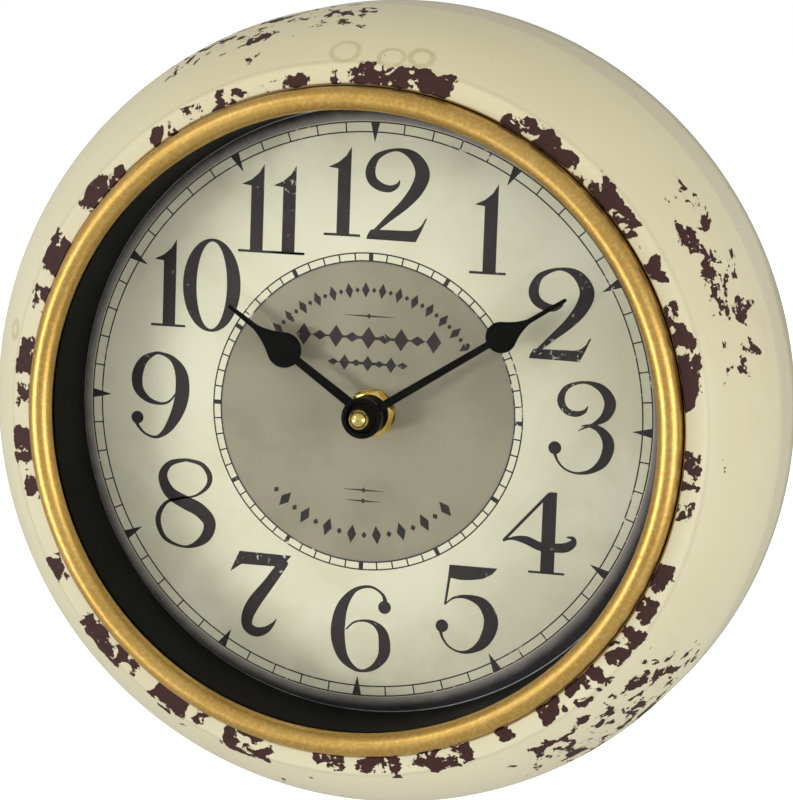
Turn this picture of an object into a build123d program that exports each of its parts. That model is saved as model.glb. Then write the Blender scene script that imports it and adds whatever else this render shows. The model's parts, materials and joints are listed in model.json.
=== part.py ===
"""Round wall clock: pressed steel case, gold-coloured bezel, printed dial and a quartz movement.

The wall is the plane y = 0, the clock faces -Y, +Z is up and the hand shaft is the Y axis.
A height (a name that ends in _H) is the distance in front of the wall. All sizes are in mm.
"""
import os
from math import cos, radians, sin

from build123d import *

# ---- Case, drawn from the glass seat over the shoulder to the wall
SHEET_T = 0.8            # pressed steel sheet
CASE_R = 119.4           # rear rim
BAND_R = 96.4            # inner edge of the front band
CREASE_R = 101.8         # outer edge of the front band
FLANK_LEAN = 1.1         # how much narrower the rear flank is at the shoulder than at the rim
CREASE_H = 56.6
FLANK_H = 22.4
BAND_RISE = 2.1          # the front band stands this much prouder at its inner edge
SHOULDER_SAG = 3.4       # bulge of the shoulder over its chord
CREASE_FILLET = 6.0
BAND_FILLET = 0.5
RIM_ROLL = 1.2           # rolled corner at the wall
RIM_FOOT = 3.0           # width of the ring that touches the wall
BACK_RECESS = 2.4        # rear flange, set in so that screw heads stay off the wall
FLANGE_IN_R = 107.5      # inner edge of the rear flange

# ---- Bezel, glass and the black wall between the glass and the dial
BEZEL_R = 95.4
BEZEL_BAND = 6.5         # width of the half-round ring
BEZEL_SKIRT_T = 0.9
BEZEL_LIP_H = 1.2        # straight inner edge under the half round
GLASS_T = 2.1
GLASS_GAP = 0.3
GASKET_T = 0.8
REVEAL_IN_R = 89.2
REVEAL_T = 0.8
REVEAL_FLANGE = 3.8
SEAT_CLEAR = 0.3
TABS = 6
TAB_W = 6.0
TAB_LENGTH = 2.6

# ---- Dial
DIAL_H = 32.5            # face of the paper
PAPER_T = 0.3
DIAL_PLATE_T = 1.2
DIAL_PLATE_R = 104.0
PAPER_CLEAR = 0.3

# ---- Back
BACK_T = 3.0
BACK_RIM_GAP = 2.4       # between the back plate and the case wall
ACCESS_W = 84.0          # opening that reaches the movement
ACCESS_CORNER = 10.0
BACK_SCREWS = 6
POSTS = 4
POST_CIRCLE_R = 98.5
POST_R = 4.0
HANGER_Z = 86.0
HANGER_W = 40.0
HANGER_TALL = 30.0
HANGER_T = 1.2
KEYHOLE_R = 4.5
KEYSLOT_R = 2.4
KEYSLOT_RISE = 8.0
WINDOW_W = 16.0
WINDOW_TALL = 24.0
RIVET_SPACING = 30.0
RIVET_R = 1.6
RIVET_HEAD_R = 2.8
RIVET_HEAD_T = 1.0

# ---- Screws
SCREW_R = 1.5
SCREW_HEAD_R = 2.8
SCREW_HEAD_T = 1.6
SCREW_BITE = 7.0         # thread inside a post
SCREW_SLOT = 0.7
THREAD_CLEAR = 0.05
HOLE_CLEAR = 0.2

# ---- Movement case
MOVE_W = 56.0
MOVE_DEPTH = 16.0
MOVE_WALL = 1.2
MOVE_CORNER = 4.0
COVER_T = 1.4
RUBBER_T = 0.8
MID_PLATE_T = 1.0
MID_PLATE_BACK = 6.8     # from the back of the movement
MID_PLATE_GAP = 0.2
PLATE_FEET = ((-22, 22), (22, 8), (16, -7.5), (-15, -7.5))
PLATE_FOOT_R = 1.5
CLIP_W = 6.0
CLIP_T = 1.0
CLIP_LENGTH = 9.0
CLIP_HOOK = 0.5
CLIP_GAP = 0.1

# ---- Battery
CELL_R = 7.1
CELL_LENGTH = 49.2
CELL_NUB_R = 2.7
CELL_NUB = 1.3
CELL_GAP = 0.3
SLEEVE_T = 0.15
BAY_WALL_Z = -10.2       # top face of the wall between the bay and the wheels
CONTACT_T = 0.4
CONTACT_W = 8.0

# ---- Shaft stack
BUSH_R = 3.95
BUSH_FLANGE_R = 5.6
BUSH_FLANGE_T = 0.9
PIPE_R = 2.5             # hour pipe
ARBOR_R = 1.8            # minute arbor
TIP_R = 1.3              # threaded end of the minute arbor
FIT = 0.05               # running clearance on the radius
WASHER_R = 7.2
WASHER_T = 0.5
NUT_FLATS = 12.0
NUT_T = 2.6
NUT_CHAMFER = 0.5
HOUR_RISE = 6.0          # hand sheet above the dial
MINUTE_RISE = 9.4
HAND_T = 0.5
HUB_R = 6.0
HUB_RIM = 1.4
HUB_T = 2.0
COLLAR_R = 4.4
COLLAR_T = 1.6
CAP_R = 3.05
CAP_NECK_R = 2.5
CAP_NECK = 3.0

# ---- Hands, each a bar, a teardrop and a fine tip
MINUTES_PAST = 9.5       # the hands show this many minutes past ten
MINUTE_HAND = {"length": 69.3, "drop_at": 47.4, "drop_r": 4.5, "bar": 2.3, "neck_at": 56.5, "neck": 1.5}
HOUR_HAND = {"length": 51.8, "drop_at": 30.8, "drop_r": 5.2, "bar": 2.7, "neck_at": 41.5, "neck": 1.7}
TIP_HALF = 0.55
DROP_SHOULDER = 56       # degrees round the drop from its tip side, where the hollow curve begins

# ---- Wheels
TRAIN_MODULE = 0.3
FAST_MODULE = 0.25
MOTION_MODULE = 0.4
WHEEL_T = 0.7
SHAFT_R = 0.5
PIVOT_DEPTH = 0.6
PIVOT_SHORT = 0.1
LAYER = {"fast": 2.0, "second": 3.7, "third": 5.4, "centre": 8.4, "motion": 10.3, "hour": 12.1}
CANNON_TEETH, MOTION_TEETH = 12, 36
MOTION_PINION_TEETH, HOUR_TEETH = 10, 40
CENTRE_TEETH, THIRD_PINION_TEETH = 64, 8
THIRD_TEETH, SECOND_PINION_TEETH = 60, 8
SECOND_TEETH, FAST_PINION_TEETH = 48, 8
FAST_TEETH, ROTOR_TEETH = 40, 8
KNOB_TEETH = 12
TOWARD_THIRD = 20        # direction of each axis from the one before it
TOWARD_SECOND = 150
TOWARD_FAST = 165
TOWARD_ROTOR = 130
TOWARD_MOTION = 160
TOWARD_KNOB = 150
ROTOR_R = 3.0
ROTOR_T = 2.0
ROTOR_GAP = 0.5
KNOB_R = 6.0
KNOB_T = 2.7
KNOB_SHAFT_R = 1.2
KNOB_GAP = 0.3
KNOB_RIBS = 24

# ---- Motor and circuit
STATOR_T = 0.6
COIL_X = (-2.6, 20.8)
COIL_Z = 21.0
COIL_FLANGE = 7.6
COIL_FLANGE_T = 1.0
COIL_CORE = 3.6
COIL_R = 3.5
CORE_W = 2.0
CORE_SLOT_GAP = 0.2
BOARD_X = (-26.4, -20.4)
BOARD_Z = (-9.4, 14.0)
BOARD_T = 1.0
BOARD_GAP = 0.8
CRYSTAL_R = 1.0
CRYSTAL_LENGTH = 6.0
CHIP_R = 2.2
CHIP_T = 1.0

# ---- Heights that follow from the sizes above
SEAT_H = CREASE_H        # the glass seat is level with the crease
BAND_H = CREASE_H + BAND_RISE
GASKET_TOP_H = SEAT_H + GASKET_T
GLASS_TOP_H = GASKET_TOP_H + GLASS_T
DIAL_PLATE_TOP_H = DIAL_H - PAPER_T
DIAL_PLATE_BACK_H = DIAL_PLATE_TOP_H - DIAL_PLATE_T
FLANGE_TOP_H = BACK_RECESS + SHEET_T
BACK_TOP_H = FLANGE_TOP_H + BACK_T
MOVE_FRONT_H = DIAL_PLATE_BACK_H - RUBBER_T
MOVE_BACK_H = MOVE_FRONT_H - MOVE_DEPTH
COVER_BACK_H = MOVE_FRONT_H - COVER_T
MID_PLATE_H = MOVE_BACK_H + MID_PLATE_BACK
GROOVE_R = BEZEL_R + SEAT_CLEAR
BEZEL_IN_R = BEZEL_R - BEZEL_BAND
SKIRT_IN_R = BEZEL_R - BEZEL_SKIRT_T
GLASS_R = SKIRT_IN_R - GLASS_GAP
REVEAL_OUT_R = REVEAL_IN_R + REVEAL_T
SEAT_IN_R = REVEAL_OUT_R + SEAT_CLEAR
FLANK_R = CASE_R - FLANK_LEAN   # where the shoulder meets the straight rear flank
BACK_R = CASE_R - SHEET_T - BACK_RIM_GAP
BACK_SCREW_CIRCLE_R = (FLANGE_IN_R + CASE_R - RIM_ROLL - RIM_FOOT) / 2
NUT_TOP_H = DIAL_H + WASHER_T + NUT_T
BUSH_TOP_H = NUT_TOP_H + 0.6
HOUR_H = DIAL_H + HOUR_RISE
MINUTE_H = DIAL_H + MINUTE_RISE
CELL_H = MOVE_BACK_H + 0.2 + CELL_R
BAY_TOP_Z = BAY_WALL_Z - MOVE_WALL
BAY_BOTTOM_Z = -MOVE_W / 2 + MOVE_WALL
CELL_Z = (BAY_TOP_Z + BAY_BOTTOM_Z) / 2
BAY_HALF = MOVE_W / 2 - MOVE_WALL - 0.6
CAVITY_HALF = MOVE_W / 2 - MOVE_WALL

# Radius against height, for shapes turned about the hand shaft
SECTION = Plane(origin=(0, 0, 0), x_dir=(1, 0, 0), z_dir=(0, 0, -1))


def front(height):
    """The plane that faces the room, at a height in front of the wall."""
    return Plane.XZ.offset(height)


def layer_h(name):
    """Back face of a layer of wheels."""
    return MOVE_BACK_H + LAYER[name]


def step_from(point, distance, toward):
    """The point at a distance from another, in a direction in degrees."""
    return (point[0] + distance * cos(radians(toward)), point[1] + distance * sin(radians(toward)))


def centres(module, teeth, mate_teeth):
    """Distance between the axes of two wheels in mesh."""
    return module * (teeth + mate_teeth) / 2


# Axes of the wheels, seen from the room
CENTRE = (0.0, 0.0)
THIRD = step_from(CENTRE, centres(TRAIN_MODULE, CENTRE_TEETH, THIRD_PINION_TEETH), TOWARD_THIRD)
SECOND = step_from(THIRD, centres(TRAIN_MODULE, THIRD_TEETH, SECOND_PINION_TEETH), TOWARD_SECOND)
FAST = step_from(SECOND, centres(FAST_MODULE, SECOND_TEETH, FAST_PINION_TEETH), TOWARD_FAST)
ROTOR = step_from(FAST, centres(FAST_MODULE, FAST_TEETH, ROTOR_TEETH), TOWARD_ROTOR)
MOTION_CENTRES = centres(MOTION_MODULE, CANNON_TEETH, MOTION_TEETH)
MOTION = step_from(CENTRE, MOTION_CENTRES, TOWARD_MOTION)
KNOB = step_from(MOTION, centres(MOTION_MODULE, MOTION_TEETH, KNOB_TEETH), TOWARD_KNOB)
HOUR_MODULE = 2 * MOTION_CENTRES / (MOTION_PINION_TEETH + HOUR_TEETH)


def mating_phase(phase, teeth, toward, mate_teeth):
    """First tooth of a wheel whose gap meets the tooth of another that lies the opposite way."""
    offset_angle = phase - toward
    gap = toward + 180 - offset_angle * teeth / mate_teeth
    return gap + 180 / mate_teeth


def tooth_outline(teeth, module, phase, at=(0.0, 0.0)):
    """Closed outline of straight-flanked teeth, with room for backlash."""
    pitch_r = teeth * module / 2
    root_r, tip_r = pitch_r - 1.15 * module, pitch_r + 0.8 * module
    step = 360 / teeth
    corners = ((root_r, -0.26), (tip_r, -0.09), (tip_r, 0.09), (root_r, 0.26))
    return [step_from(at, r, phase + step * (tooth + part)) for tooth in range(teeth) for r, part in corners]


def save(part, name):
    """Label a finished piece and write it to its own file."""
    part.label = name
    export_step(part, f"parts/{name}.step")


os.makedirs("parts", exist_ok=True)

# ================================================================ Case
with BuildPart() as case_shell:
    with BuildSketch(SECTION):
        with BuildLine() as skin:
            lip = Polyline((SEAT_IN_R, SEAT_H), (GROOVE_R, SEAT_H), (BAND_R, BAND_H), (CREASE_R, CREASE_H))
            shoulder = SagittaArc(lip @ 1, (FLANK_R, FLANK_H), SHOULDER_SAG)
            flank = Line(shoulder @ 1, (CASE_R, RIM_ROLL))
            roll = RadiusArc(flank @ 1, (CASE_R - RIM_ROLL, 0), RIM_ROLL)
            foot_in = CASE_R - RIM_ROLL - RIM_FOOT
            Polyline(roll @ 1, (foot_in, 0), (foot_in - 0.4, BACK_RECESS), (FLANGE_IN_R, BACK_RECESS))
            fillet(skin.vertices().sort_by_distance((CREASE_R, CREASE_H))[0], CREASE_FILLET)
            fillet(skin.vertices().sort_by_distance((BAND_R, BAND_H))[0], BAND_FILLET)
            offset(amount=SHEET_T, side=Side.RIGHT)
        make_face()
    revolve(axis=Axis.Y)
    with BuildSketch(front(BACK_RECESS - SHEET_T)):
        with PolarLocations(BACK_SCREW_CIRCLE_R, BACK_SCREWS, 30):
            Circle(SCREW_R + HOLE_CLEAR)
    extrude(amount=3 * SHEET_T, mode=Mode.SUBTRACT)
    with BuildSketch(front(SEAT_H - 2 * SHEET_T)):
        with PolarLocations((SKIRT_IN_R + BEZEL_R) / 2, TABS):
            Rectangle(BEZEL_SKIRT_T + 0.4, TAB_W + 0.6)
    extrude(amount=3 * SHEET_T, mode=Mode.SUBTRACT)
save(case_shell.part, "case_shell")

# Half-round ring, whose skirt stands on the glass seat and whose tabs pass through it
with BuildPart() as bezel_ring:
    with BuildSketch(SECTION):
        with BuildLine():
            top_h = GLASS_TOP_H + BEZEL_LIP_H
            Polyline((BEZEL_R, top_h), (BEZEL_R, SEAT_H), (SKIRT_IN_R, SEAT_H), (SKIRT_IN_R, GLASS_TOP_H),
                     (BEZEL_IN_R, GLASS_TOP_H), (BEZEL_IN_R, top_h))
            ThreePointArc((BEZEL_IN_R, top_h), (BEZEL_R - BEZEL_BAND / 2, top_h + BEZEL_BAND / 2),
                          (BEZEL_R, top_h))
        make_face()
    revolve(axis=Axis.Y)
    with BuildSketch(front(SEAT_H)):
        with PolarLocations((SKIRT_IN_R + BEZEL_R) / 2, TABS):
            Rectangle(BEZEL_SKIRT_T - 0.1, TAB_W)
    extrude(amount=-TAB_LENGTH)
save(bezel_ring.part, "bezel_ring")

with BuildPart() as lens_glass:
    with BuildSketch(front(GASKET_TOP_H)):
        Circle(GLASS_R)
    extrude(amount=GLASS_T)
save(lens_glass.part, "lens_glass")

with BuildPart() as lens_gasket:
    with BuildSketch(front(SEAT_H)):
        Circle(GLASS_R)
        Circle(SEAT_IN_R, mode=Mode.SUBTRACT)
    extrude(amount=GASKET_T)
save(lens_gasket.part, "lens_gasket")

# Black wall: a thin tube with a flange under the glass seat and one on the dial plate
with BuildPart() as reveal_ring:
    flange_r = REVEAL_OUT_R + REVEAL_FLANGE
    for low_h, high_h, outer_r in (
        (DIAL_PLATE_TOP_H, SEAT_H, REVEAL_OUT_R),
        (DIAL_PLATE_TOP_H, DIAL_PLATE_TOP_H + REVEAL_T, flange_r),
        (SEAT_H - SHEET_T - REVEAL_T, SEAT_H - SHEET_T, flange_r),
    ):
        with BuildSketch(front(low_h)):
            Circle(outer_r)
            Circle(REVEAL_IN_R, mode=Mode.SUBTRACT)
        extrude(amount=high_h - low_h)
save(reveal_ring.part, "reveal_ring")

# ================================================================ Dial
with BuildPart() as dial_plate:
    with BuildSketch(front(DIAL_PLATE_BACK_H)):
        Circle(DIAL_PLATE_R)
        Circle(BUSH_R + HOLE_CLEAR, mode=Mode.SUBTRACT)
        with PolarLocations(POST_CIRCLE_R, POSTS, 45):
            Circle(SCREW_R + HOLE_CLEAR, mode=Mode.SUBTRACT)
    extrude(amount=DIAL_PLATE_T)
save(dial_plate.part, "dial_plate")

with BuildPart() as dial_paper:
    with BuildSketch(front(DIAL_PLATE_TOP_H)):
        Circle(REVEAL_IN_R - PAPER_CLEAR)
        Circle(BUSH_R + HOLE_CLEAR, mode=Mode.SUBTRACT)
    extrude(amount=PAPER_T)
save(dial_paper.part, "dial_paper")

with BuildPart() as dial_posts:
    with BuildSketch(front(BACK_TOP_H)):
        with PolarLocations(POST_CIRCLE_R, POSTS, 45):
            RegularPolygon(POST_R, 6, major_radius=False)
    extrude(amount=DIAL_PLATE_BACK_H - BACK_TOP_H)
    for end_h, inward in ((BACK_TOP_H, 1), (DIAL_PLATE_BACK_H, -1)):
        with BuildSketch(front(end_h)):
            with PolarLocations(POST_CIRCLE_R, POSTS, 45):
                Circle(SCREW_R + THREAD_CLEAR)
        extrude(amount=inward * (SCREW_BITE + 1), mode=Mode.SUBTRACT)
save(dial_posts.part, "dial_posts")


def screws(seat_h, outward, circle_r, count, start, length):
    """A ring of slotted pan-head screws; outward is 1 towards the room and -1 towards the wall."""
    with BuildPart() as ring:
        with BuildSketch(front(seat_h)):
            with PolarLocations(circle_r, count, start):
                Circle(SCREW_HEAD_R)
        extrude(amount=outward * SCREW_HEAD_T)
        rims = ring.edges().filter_by(GeomType.CIRCLE).group_by(Axis.Y)
        chamfer(rims[0] if outward > 0 else rims[-1], SCREW_HEAD_T / 4)
        with BuildSketch(front(seat_h)):
            with PolarLocations(circle_r, count, start):
                Circle(SCREW_R)
        extrude(amount=-outward * length)
        with BuildSketch(front(seat_h + outward * SCREW_HEAD_T)):
            with PolarLocations(circle_r, count, start):
                Rectangle(2 * SCREW_HEAD_R, SCREW_SLOT)
                Rectangle(SCREW_SLOT, 2 * SCREW_HEAD_R)
            with PolarLocations(circle_r, count, start):
                Circle(SCREW_HEAD_R * 0.7, mode=Mode.INTERSECT)
        extrude(amount=-outward * SCREW_HEAD_T / 2, mode=Mode.SUBTRACT)
    return ring.part


save(screws(DIAL_PLATE_TOP_H, 1, POST_CIRCLE_R, POSTS, 45, DIAL_PLATE_T + SCREW_BITE), "dial_screws")

# ================================================================ Back
with BuildPart() as back_plate:
    with BuildSketch(front(FLANGE_TOP_H)):
        Circle(BACK_R)
        RectangleRounded(ACCESS_W, ACCESS_W, ACCESS_CORNER, mode=Mode.SUBTRACT)
        with PolarLocations(POST_CIRCLE_R, POSTS, 45):
            Circle(SCREW_R + HOLE_CLEAR, mode=Mode.SUBTRACT)
        with PolarLocations(BACK_SCREW_CIRCLE_R, BACK_SCREWS, 30):
            Circle(SCREW_R + THREAD_CLEAR, mode=Mode.SUBTRACT)
        with Locations((0, HANGER_Z)):
            RectangleRounded(WINDOW_W, WINDOW_TALL, 3, mode=Mode.SUBTRACT)
            with GridLocations(RIVET_SPACING, 0, 2, 1):
                Circle(RIVET_R + THREAD_CLEAR, mode=Mode.SUBTRACT)
    extrude(amount=BACK_T)
save(back_plate.part, "back_plate")

# Keyhole: the head goes in at the wide hole and the clock drops until its shank is in the slot
with BuildPart() as hanger_plate:
    with BuildSketch(front(BACK_TOP_H)):
        with Locations((0, HANGER_Z)):
            RectangleRounded(HANGER_W, HANGER_TALL, 3)
            with GridLocations(RIVET_SPACING, 0, 2, 1):
                Circle(RIVET_R + THREAD_CLEAR, mode=Mode.SUBTRACT)
        keyhole_z = HANGER_Z - KEYSLOT_RISE / 2
        with Locations((0, keyhole_z)):
            Circle(KEYHOLE_R, mode=Mode.SUBTRACT)
        with Locations((0, keyhole_z + KEYSLOT_RISE)):
            Circle(KEYSLOT_R, mode=Mode.SUBTRACT)
        with Locations((0, keyhole_z + KEYSLOT_RISE / 2)):
            Rectangle(2 * KEYSLOT_R, KEYSLOT_RISE, mode=Mode.SUBTRACT)
    extrude(amount=HANGER_T)
save(hanger_plate.part, "hanger_plate")

with BuildPart() as hanger_rivets:
    for low_h, high_h, radius in (
        (FLANGE_TOP_H - RIVET_HEAD_T, FLANGE_TOP_H, RIVET_HEAD_R),
        (FLANGE_TOP_H, BACK_TOP_H + HANGER_T, RIVET_R),
        (BACK_TOP_H + HANGER_T, BACK_TOP_H + HANGER_T + RIVET_HEAD_T, RIVET_HEAD_R),
    ):
        with BuildSketch(front(low_h)):
            with Locations((0, HANGER_Z)):
                with GridLocations(RIVET_SPACING, 0, 2, 1):
                    Circle(radius)
        extrude(amount=high_h - low_h)
    outer_rims = hanger_rivets.edges().filter_by(GeomType.CIRCLE).group_by(Axis.Y)
    fillet(outer_rims[0] + outer_rims[-1], RIVET_HEAD_T * 0.6)
save(hanger_rivets.part, "hanger_rivets")

save(screws(BACK_RECESS, -1, BACK_SCREW_CIRCLE_R, BACK_SCREWS, 30, SHEET_T + BACK_T), "back_screws")
save(screws(FLANGE_TOP_H, -1, POST_CIRCLE_R, POSTS, 45, BACK_T + SCREW_BITE), "post_screws")

# ================================================================ Movement case
with BuildPart() as movement_case:
    with BuildSketch(front(MOVE_BACK_H)):
        RectangleRounded(MOVE_W, MOVE_W, MOVE_CORNER)
    extrude(amount=COVER_BACK_H - MOVE_BACK_H)
    fillet(movement_case.faces().sort_by(Axis.Y)[-1].outer_wire().edges(), 0.8)
    # Room for the wheels, closed at the back
    with BuildSketch(front(MOVE_BACK_H + MOVE_WALL)):
        with Locations((0, (CAVITY_HALF + BAY_WALL_Z) / 2)):
            Rectangle(2 * CAVITY_HALF, CAVITY_HALF - BAY_WALL_Z)
    extrude(amount=MOVE_DEPTH, mode=Mode.SUBTRACT)
    # Battery bay, open at the back
    with BuildSketch(front(MOVE_BACK_H)):
        with Locations((0, CELL_Z)):
            Rectangle(2 * BAY_HALF, BAY_TOP_Z - BAY_BOTTOM_Z)
    extrude(amount=MOVE_DEPTH, mode=Mode.SUBTRACT)
    # Thumb notches beside the bay
    with BuildSketch(front(MOVE_BACK_H)):
        with Locations((0, -MOVE_W / 2)):
            SlotOverall(22, 8)
    extrude(amount=MOVE_DEPTH * 0.4, mode=Mode.SUBTRACT)
    # Blind pivot holes, and the hole for the setting shaft
    with BuildSketch(front(MOVE_BACK_H + MOVE_WALL)):
        with Locations(THIRD, SECOND, FAST, ROTOR):
            Circle(SHAFT_R + FIT)
    extrude(amount=-PIVOT_DEPTH, mode=Mode.SUBTRACT)
    with BuildSketch(front(MOVE_BACK_H)):
        with Locations(KNOB):
            Circle(KNOB_SHAFT_R + FIT)
    extrude(amount=MOVE_WALL, mode=Mode.SUBTRACT)
    # Pockets that the cover's clips hook into
    with BuildSketch(front(COVER_BACK_H - CLIP_LENGTH + COVER_T)):
        with GridLocations(MOVE_W - CLIP_HOOK, 2 * CLIP_W + 6, 2, 2):
            Rectangle(CLIP_HOOK + 0.4, CLIP_W + 0.4)
    extrude(amount=2.2, mode=Mode.SUBTRACT)
save(movement_case.part, "movement_case")

with BuildPart() as movement_front:
    with BuildSketch(front(COVER_BACK_H)):
        RectangleRounded(MOVE_W, MOVE_W, MOVE_CORNER)
        Circle(BUSH_R + FIT, mode=Mode.SUBTRACT)
    extrude(amount=COVER_T)
    # Stud that the motion wheel turns on
    with BuildSketch(front(COVER_BACK_H)):
        with Locations(MOTION):
            Circle(SHAFT_R + 0.3)
    extrude(amount=-(COVER_BACK_H - layer_h("motion") + 0.2))
    with BuildSketch(front(COVER_BACK_H)):
        with Locations(THIRD):
            Circle(SHAFT_R + FIT)
        with Locations(KNOB):
            Circle(KNOB_SHAFT_R + FIT)
    extrude(amount=PIVOT_DEPTH, mode=Mode.SUBTRACT)
    # Clips down the two sides, each with a hook at its end
    clip_x = MOVE_W / 2 + CLIP_GAP + CLIP_T / 2
    with BuildSketch(front(MOVE_FRONT_H)):
        with GridLocations(2 * clip_x, 2 * CLIP_W + 6, 2, 2):
            Rectangle(CLIP_T, CLIP_W)
    extrude(amount=-CLIP_LENGTH)
    with BuildSketch(front(MOVE_FRONT_H)):
        with GridLocations(MOVE_W, 2 * CLIP_W + 6, 2, 2):
            Rectangle(2 * (CLIP_GAP + CLIP_T), CLIP_W)
    extrude(amount=-COVER_T)
    with BuildSketch(front(MOVE_FRONT_H - CLIP_LENGTH)):
        with GridLocations(MOVE_W, 2 * CLIP_W + 6, 2, 2):
            Rectangle(2 * CLIP_GAP + CLIP_HOOK, CLIP_W)
    extrude(amount=1.5)
save(movement_front.part, "movement_front")

with BuildPart() as mid_plate:
    with BuildSketch(front(MID_PLATE_H)):
        with Locations((0, (CAVITY_HALF + BAY_WALL_Z) / 2)):
            Rectangle(2 * (CAVITY_HALF - MID_PLATE_GAP), CAVITY_HALF - BAY_WALL_Z - 2 * MID_PLATE_GAP)
        coil_mid_x = (COIL_X[0] + COIL_X[1]) / 2
        with Locations((coil_mid_x, COIL_Z + 2)):
            Rectangle(COIL_X[1] - COIL_X[0] + 3, COIL_FLANGE + 5, mode=Mode.SUBTRACT)
        with Locations(THIRD, SECOND, FAST, ROTOR):
            Circle(SHAFT_R + FIT, mode=Mode.SUBTRACT)
        with Locations(CENTRE):
            Circle(TIP_R + FIT, mode=Mode.SUBTRACT)
        with Locations(KNOB):
            Circle(KNOB_SHAFT_R + FIT, mode=Mode.SUBTRACT)
    extrude(amount=MID_PLATE_T)
    # Feet that hold the plate off the back of the case
    with BuildSketch(front(MID_PLATE_H)):
        with Locations(*PLATE_FEET):
            Circle(PLATE_FOOT_R)
    extrude(amount=-(MID_PLATE_BACK - MOVE_WALL))
save(mid_plate.part, "mid_plate")

# ================================================================ Shaft stack
with BuildPart() as centre_bush:
    for low_h, high_h, radius in (
        (COVER_BACK_H - BUSH_FLANGE_T, COVER_BACK_H, BUSH_FLANGE_R),
        (COVER_BACK_H, BUSH_TOP_H, BUSH_R),
    ):
        with BuildSketch(front(low_h)):
            Circle(radius)
            Circle(PIPE_R + FIT, mode=Mode.SUBTRACT)
        extrude(amount=high_h - low_h)
    # Thread, as rings turned into the neck
    with BuildSketch(SECTION):
        with Locations(*[(BUSH_R, NUT_TOP_H + 0.1 + 0.25 * turn) for turn in range(2)]):
            Rectangle(0.3, 0.12)
    revolve(axis=Axis.Y, mode=Mode.SUBTRACT)
save(centre_bush.part, "centre_bush")

with BuildPart() as rubber_washer:
    with BuildSketch(front(MOVE_FRONT_H)):
        Circle(11)
        Circle(BUSH_R + HOLE_CLEAR, mode=Mode.SUBTRACT)
    extrude(amount=RUBBER_T)
save(rubber_washer.part, "rubber_washer")

with BuildPart() as brass_washer:
    with BuildSketch(front(DIAL_H)):
        Circle(WASHER_R)
        Circle(BUSH_R + HOLE_CLEAR, mode=Mode.SUBTRACT)
    extrude(amount=WASHER_T)
save(brass_washer.part, "brass_washer")

with BuildPart() as dial_nut:
    with BuildSketch(front(DIAL_H + WASHER_T)):
        RegularPolygon(NUT_FLATS / 2, 6, major_radius=False, rotation=12)
        Circle(BUSH_R + THREAD_CLEAR, mode=Mode.SUBTRACT)
    extrude(amount=NUT_T)
    # Chamfered corners, as a cone common to the hexagon
    with BuildSketch(SECTION):
        corner_r = NUT_FLATS / 2 / cos(radians(30))
        Polygon((0, DIAL_H), (corner_r + 0.1, DIAL_H), (corner_r + 0.1, NUT_TOP_H - NUT_CHAMFER),
                (NUT_FLATS / 2 - 0.1, NUT_TOP_H), (0, NUT_TOP_H), align=None)
    revolve(axis=Axis.Y, mode=Mode.INTERSECT)
save(dial_nut.part, "dial_nut")


def hand(shape, height, angle, hole_r, root_r):
    """A sheet hand that points angle degrees clockwise from twelve."""
    tip, neck, drop_at, drop_r = shape["length"], shape["neck_at"], shape["drop_at"], shape["drop_r"]
    half_bar, half_neck = shape["bar"] / 2, shape["neck"] / 2
    turn = radians(DROP_SHOULDER)
    shoulder_x, shoulder_y = drop_at + drop_r * cos(turn), drop_r * sin(turn)
    hollow_x, hollow_y = shoulder_x + (neck - shoulder_x) * 0.42, shoulder_y * 0.45
    pointing = (sin(radians(angle)), 0, cos(radians(angle)))
    along = Plane(origin=(0, -height, 0), x_dir=pointing, z_dir=(0, -1, 0))
    with BuildPart() as piece:
        with BuildSketch(along):
            with BuildLine():
                # The drop runs into the fine tip by a curve that is hollow on both sides
                upper = Bezier((shoulder_x, shoulder_y), (hollow_x, hollow_y), (neck, half_neck))
                side = Line(upper @ 1, (tip - TIP_HALF, TIP_HALF))
                end = ThreePointArc(side @ 1, (tip, 0), (tip - TIP_HALF, -TIP_HALF))
                back = Line(end @ 1, (neck, -half_neck))
                lower = Bezier(back @ 1, (hollow_x, -hollow_y), (shoulder_x, -shoulder_y))
                ThreePointArc(lower @ 1, (drop_at - drop_r, 0), upper @ 0)
            make_face()
            with BuildLine():
                Polyline((0, half_bar * 1.1), (drop_at, half_bar * 0.85), (drop_at, -half_bar * 0.85),
                         (0, -half_bar * 1.1), close=True)
            make_face()
            Circle(root_r)
            Circle(hole_r, mode=Mode.SUBTRACT)
        extrude(amount=HAND_T)
    return piece.part


minute_angle = MINUTES_PAST * 6
hour_angle = 300 + MINUTES_PAST / 2

with BuildPart() as hour_hand:
    add(hand(HOUR_HAND, HOUR_H, hour_angle, PIPE_R + FIT / 2, COLLAR_R))
    with BuildSketch(front(HOUR_H - (COLLAR_T - HAND_T))):
        Circle(COLLAR_R - 0.4)
        Circle(PIPE_R + FIT / 2, mode=Mode.SUBTRACT)
    extrude(amount=COLLAR_T - HAND_T)
save(hour_hand.part, "hour_hand")

save(hand(MINUTE_HAND, MINUTE_H, minute_angle, ARBOR_R + FIT / 2, HUB_R - 0.5), "minute_hand")

# Black cup pressed on the root of the minute hand
with BuildPart() as hand_bushing:
    with BuildSketch(SECTION):
        with BuildLine():
            low, high = MINUTE_H + HAND_T, MINUTE_H + HAND_T + HUB_T
            Polyline((ARBOR_R + FIT / 2, low), (HUB_R, low), (HUB_R, high - 0.5))
            RadiusArc((HUB_R, high - 0.5), (HUB_R - 0.5, high), -0.5)
            Polyline((HUB_R - 0.5, high), (HUB_R - HUB_RIM, high), (HUB_R - HUB_RIM - 0.6, high - 1.1),
                     (ARBOR_R + FIT / 2, high - 1.1), (ARBOR_R + FIT / 2, low))
        make_face()
    revolve(axis=Axis.Y)
save(hand_bushing.part, "hand_bushing")

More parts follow.
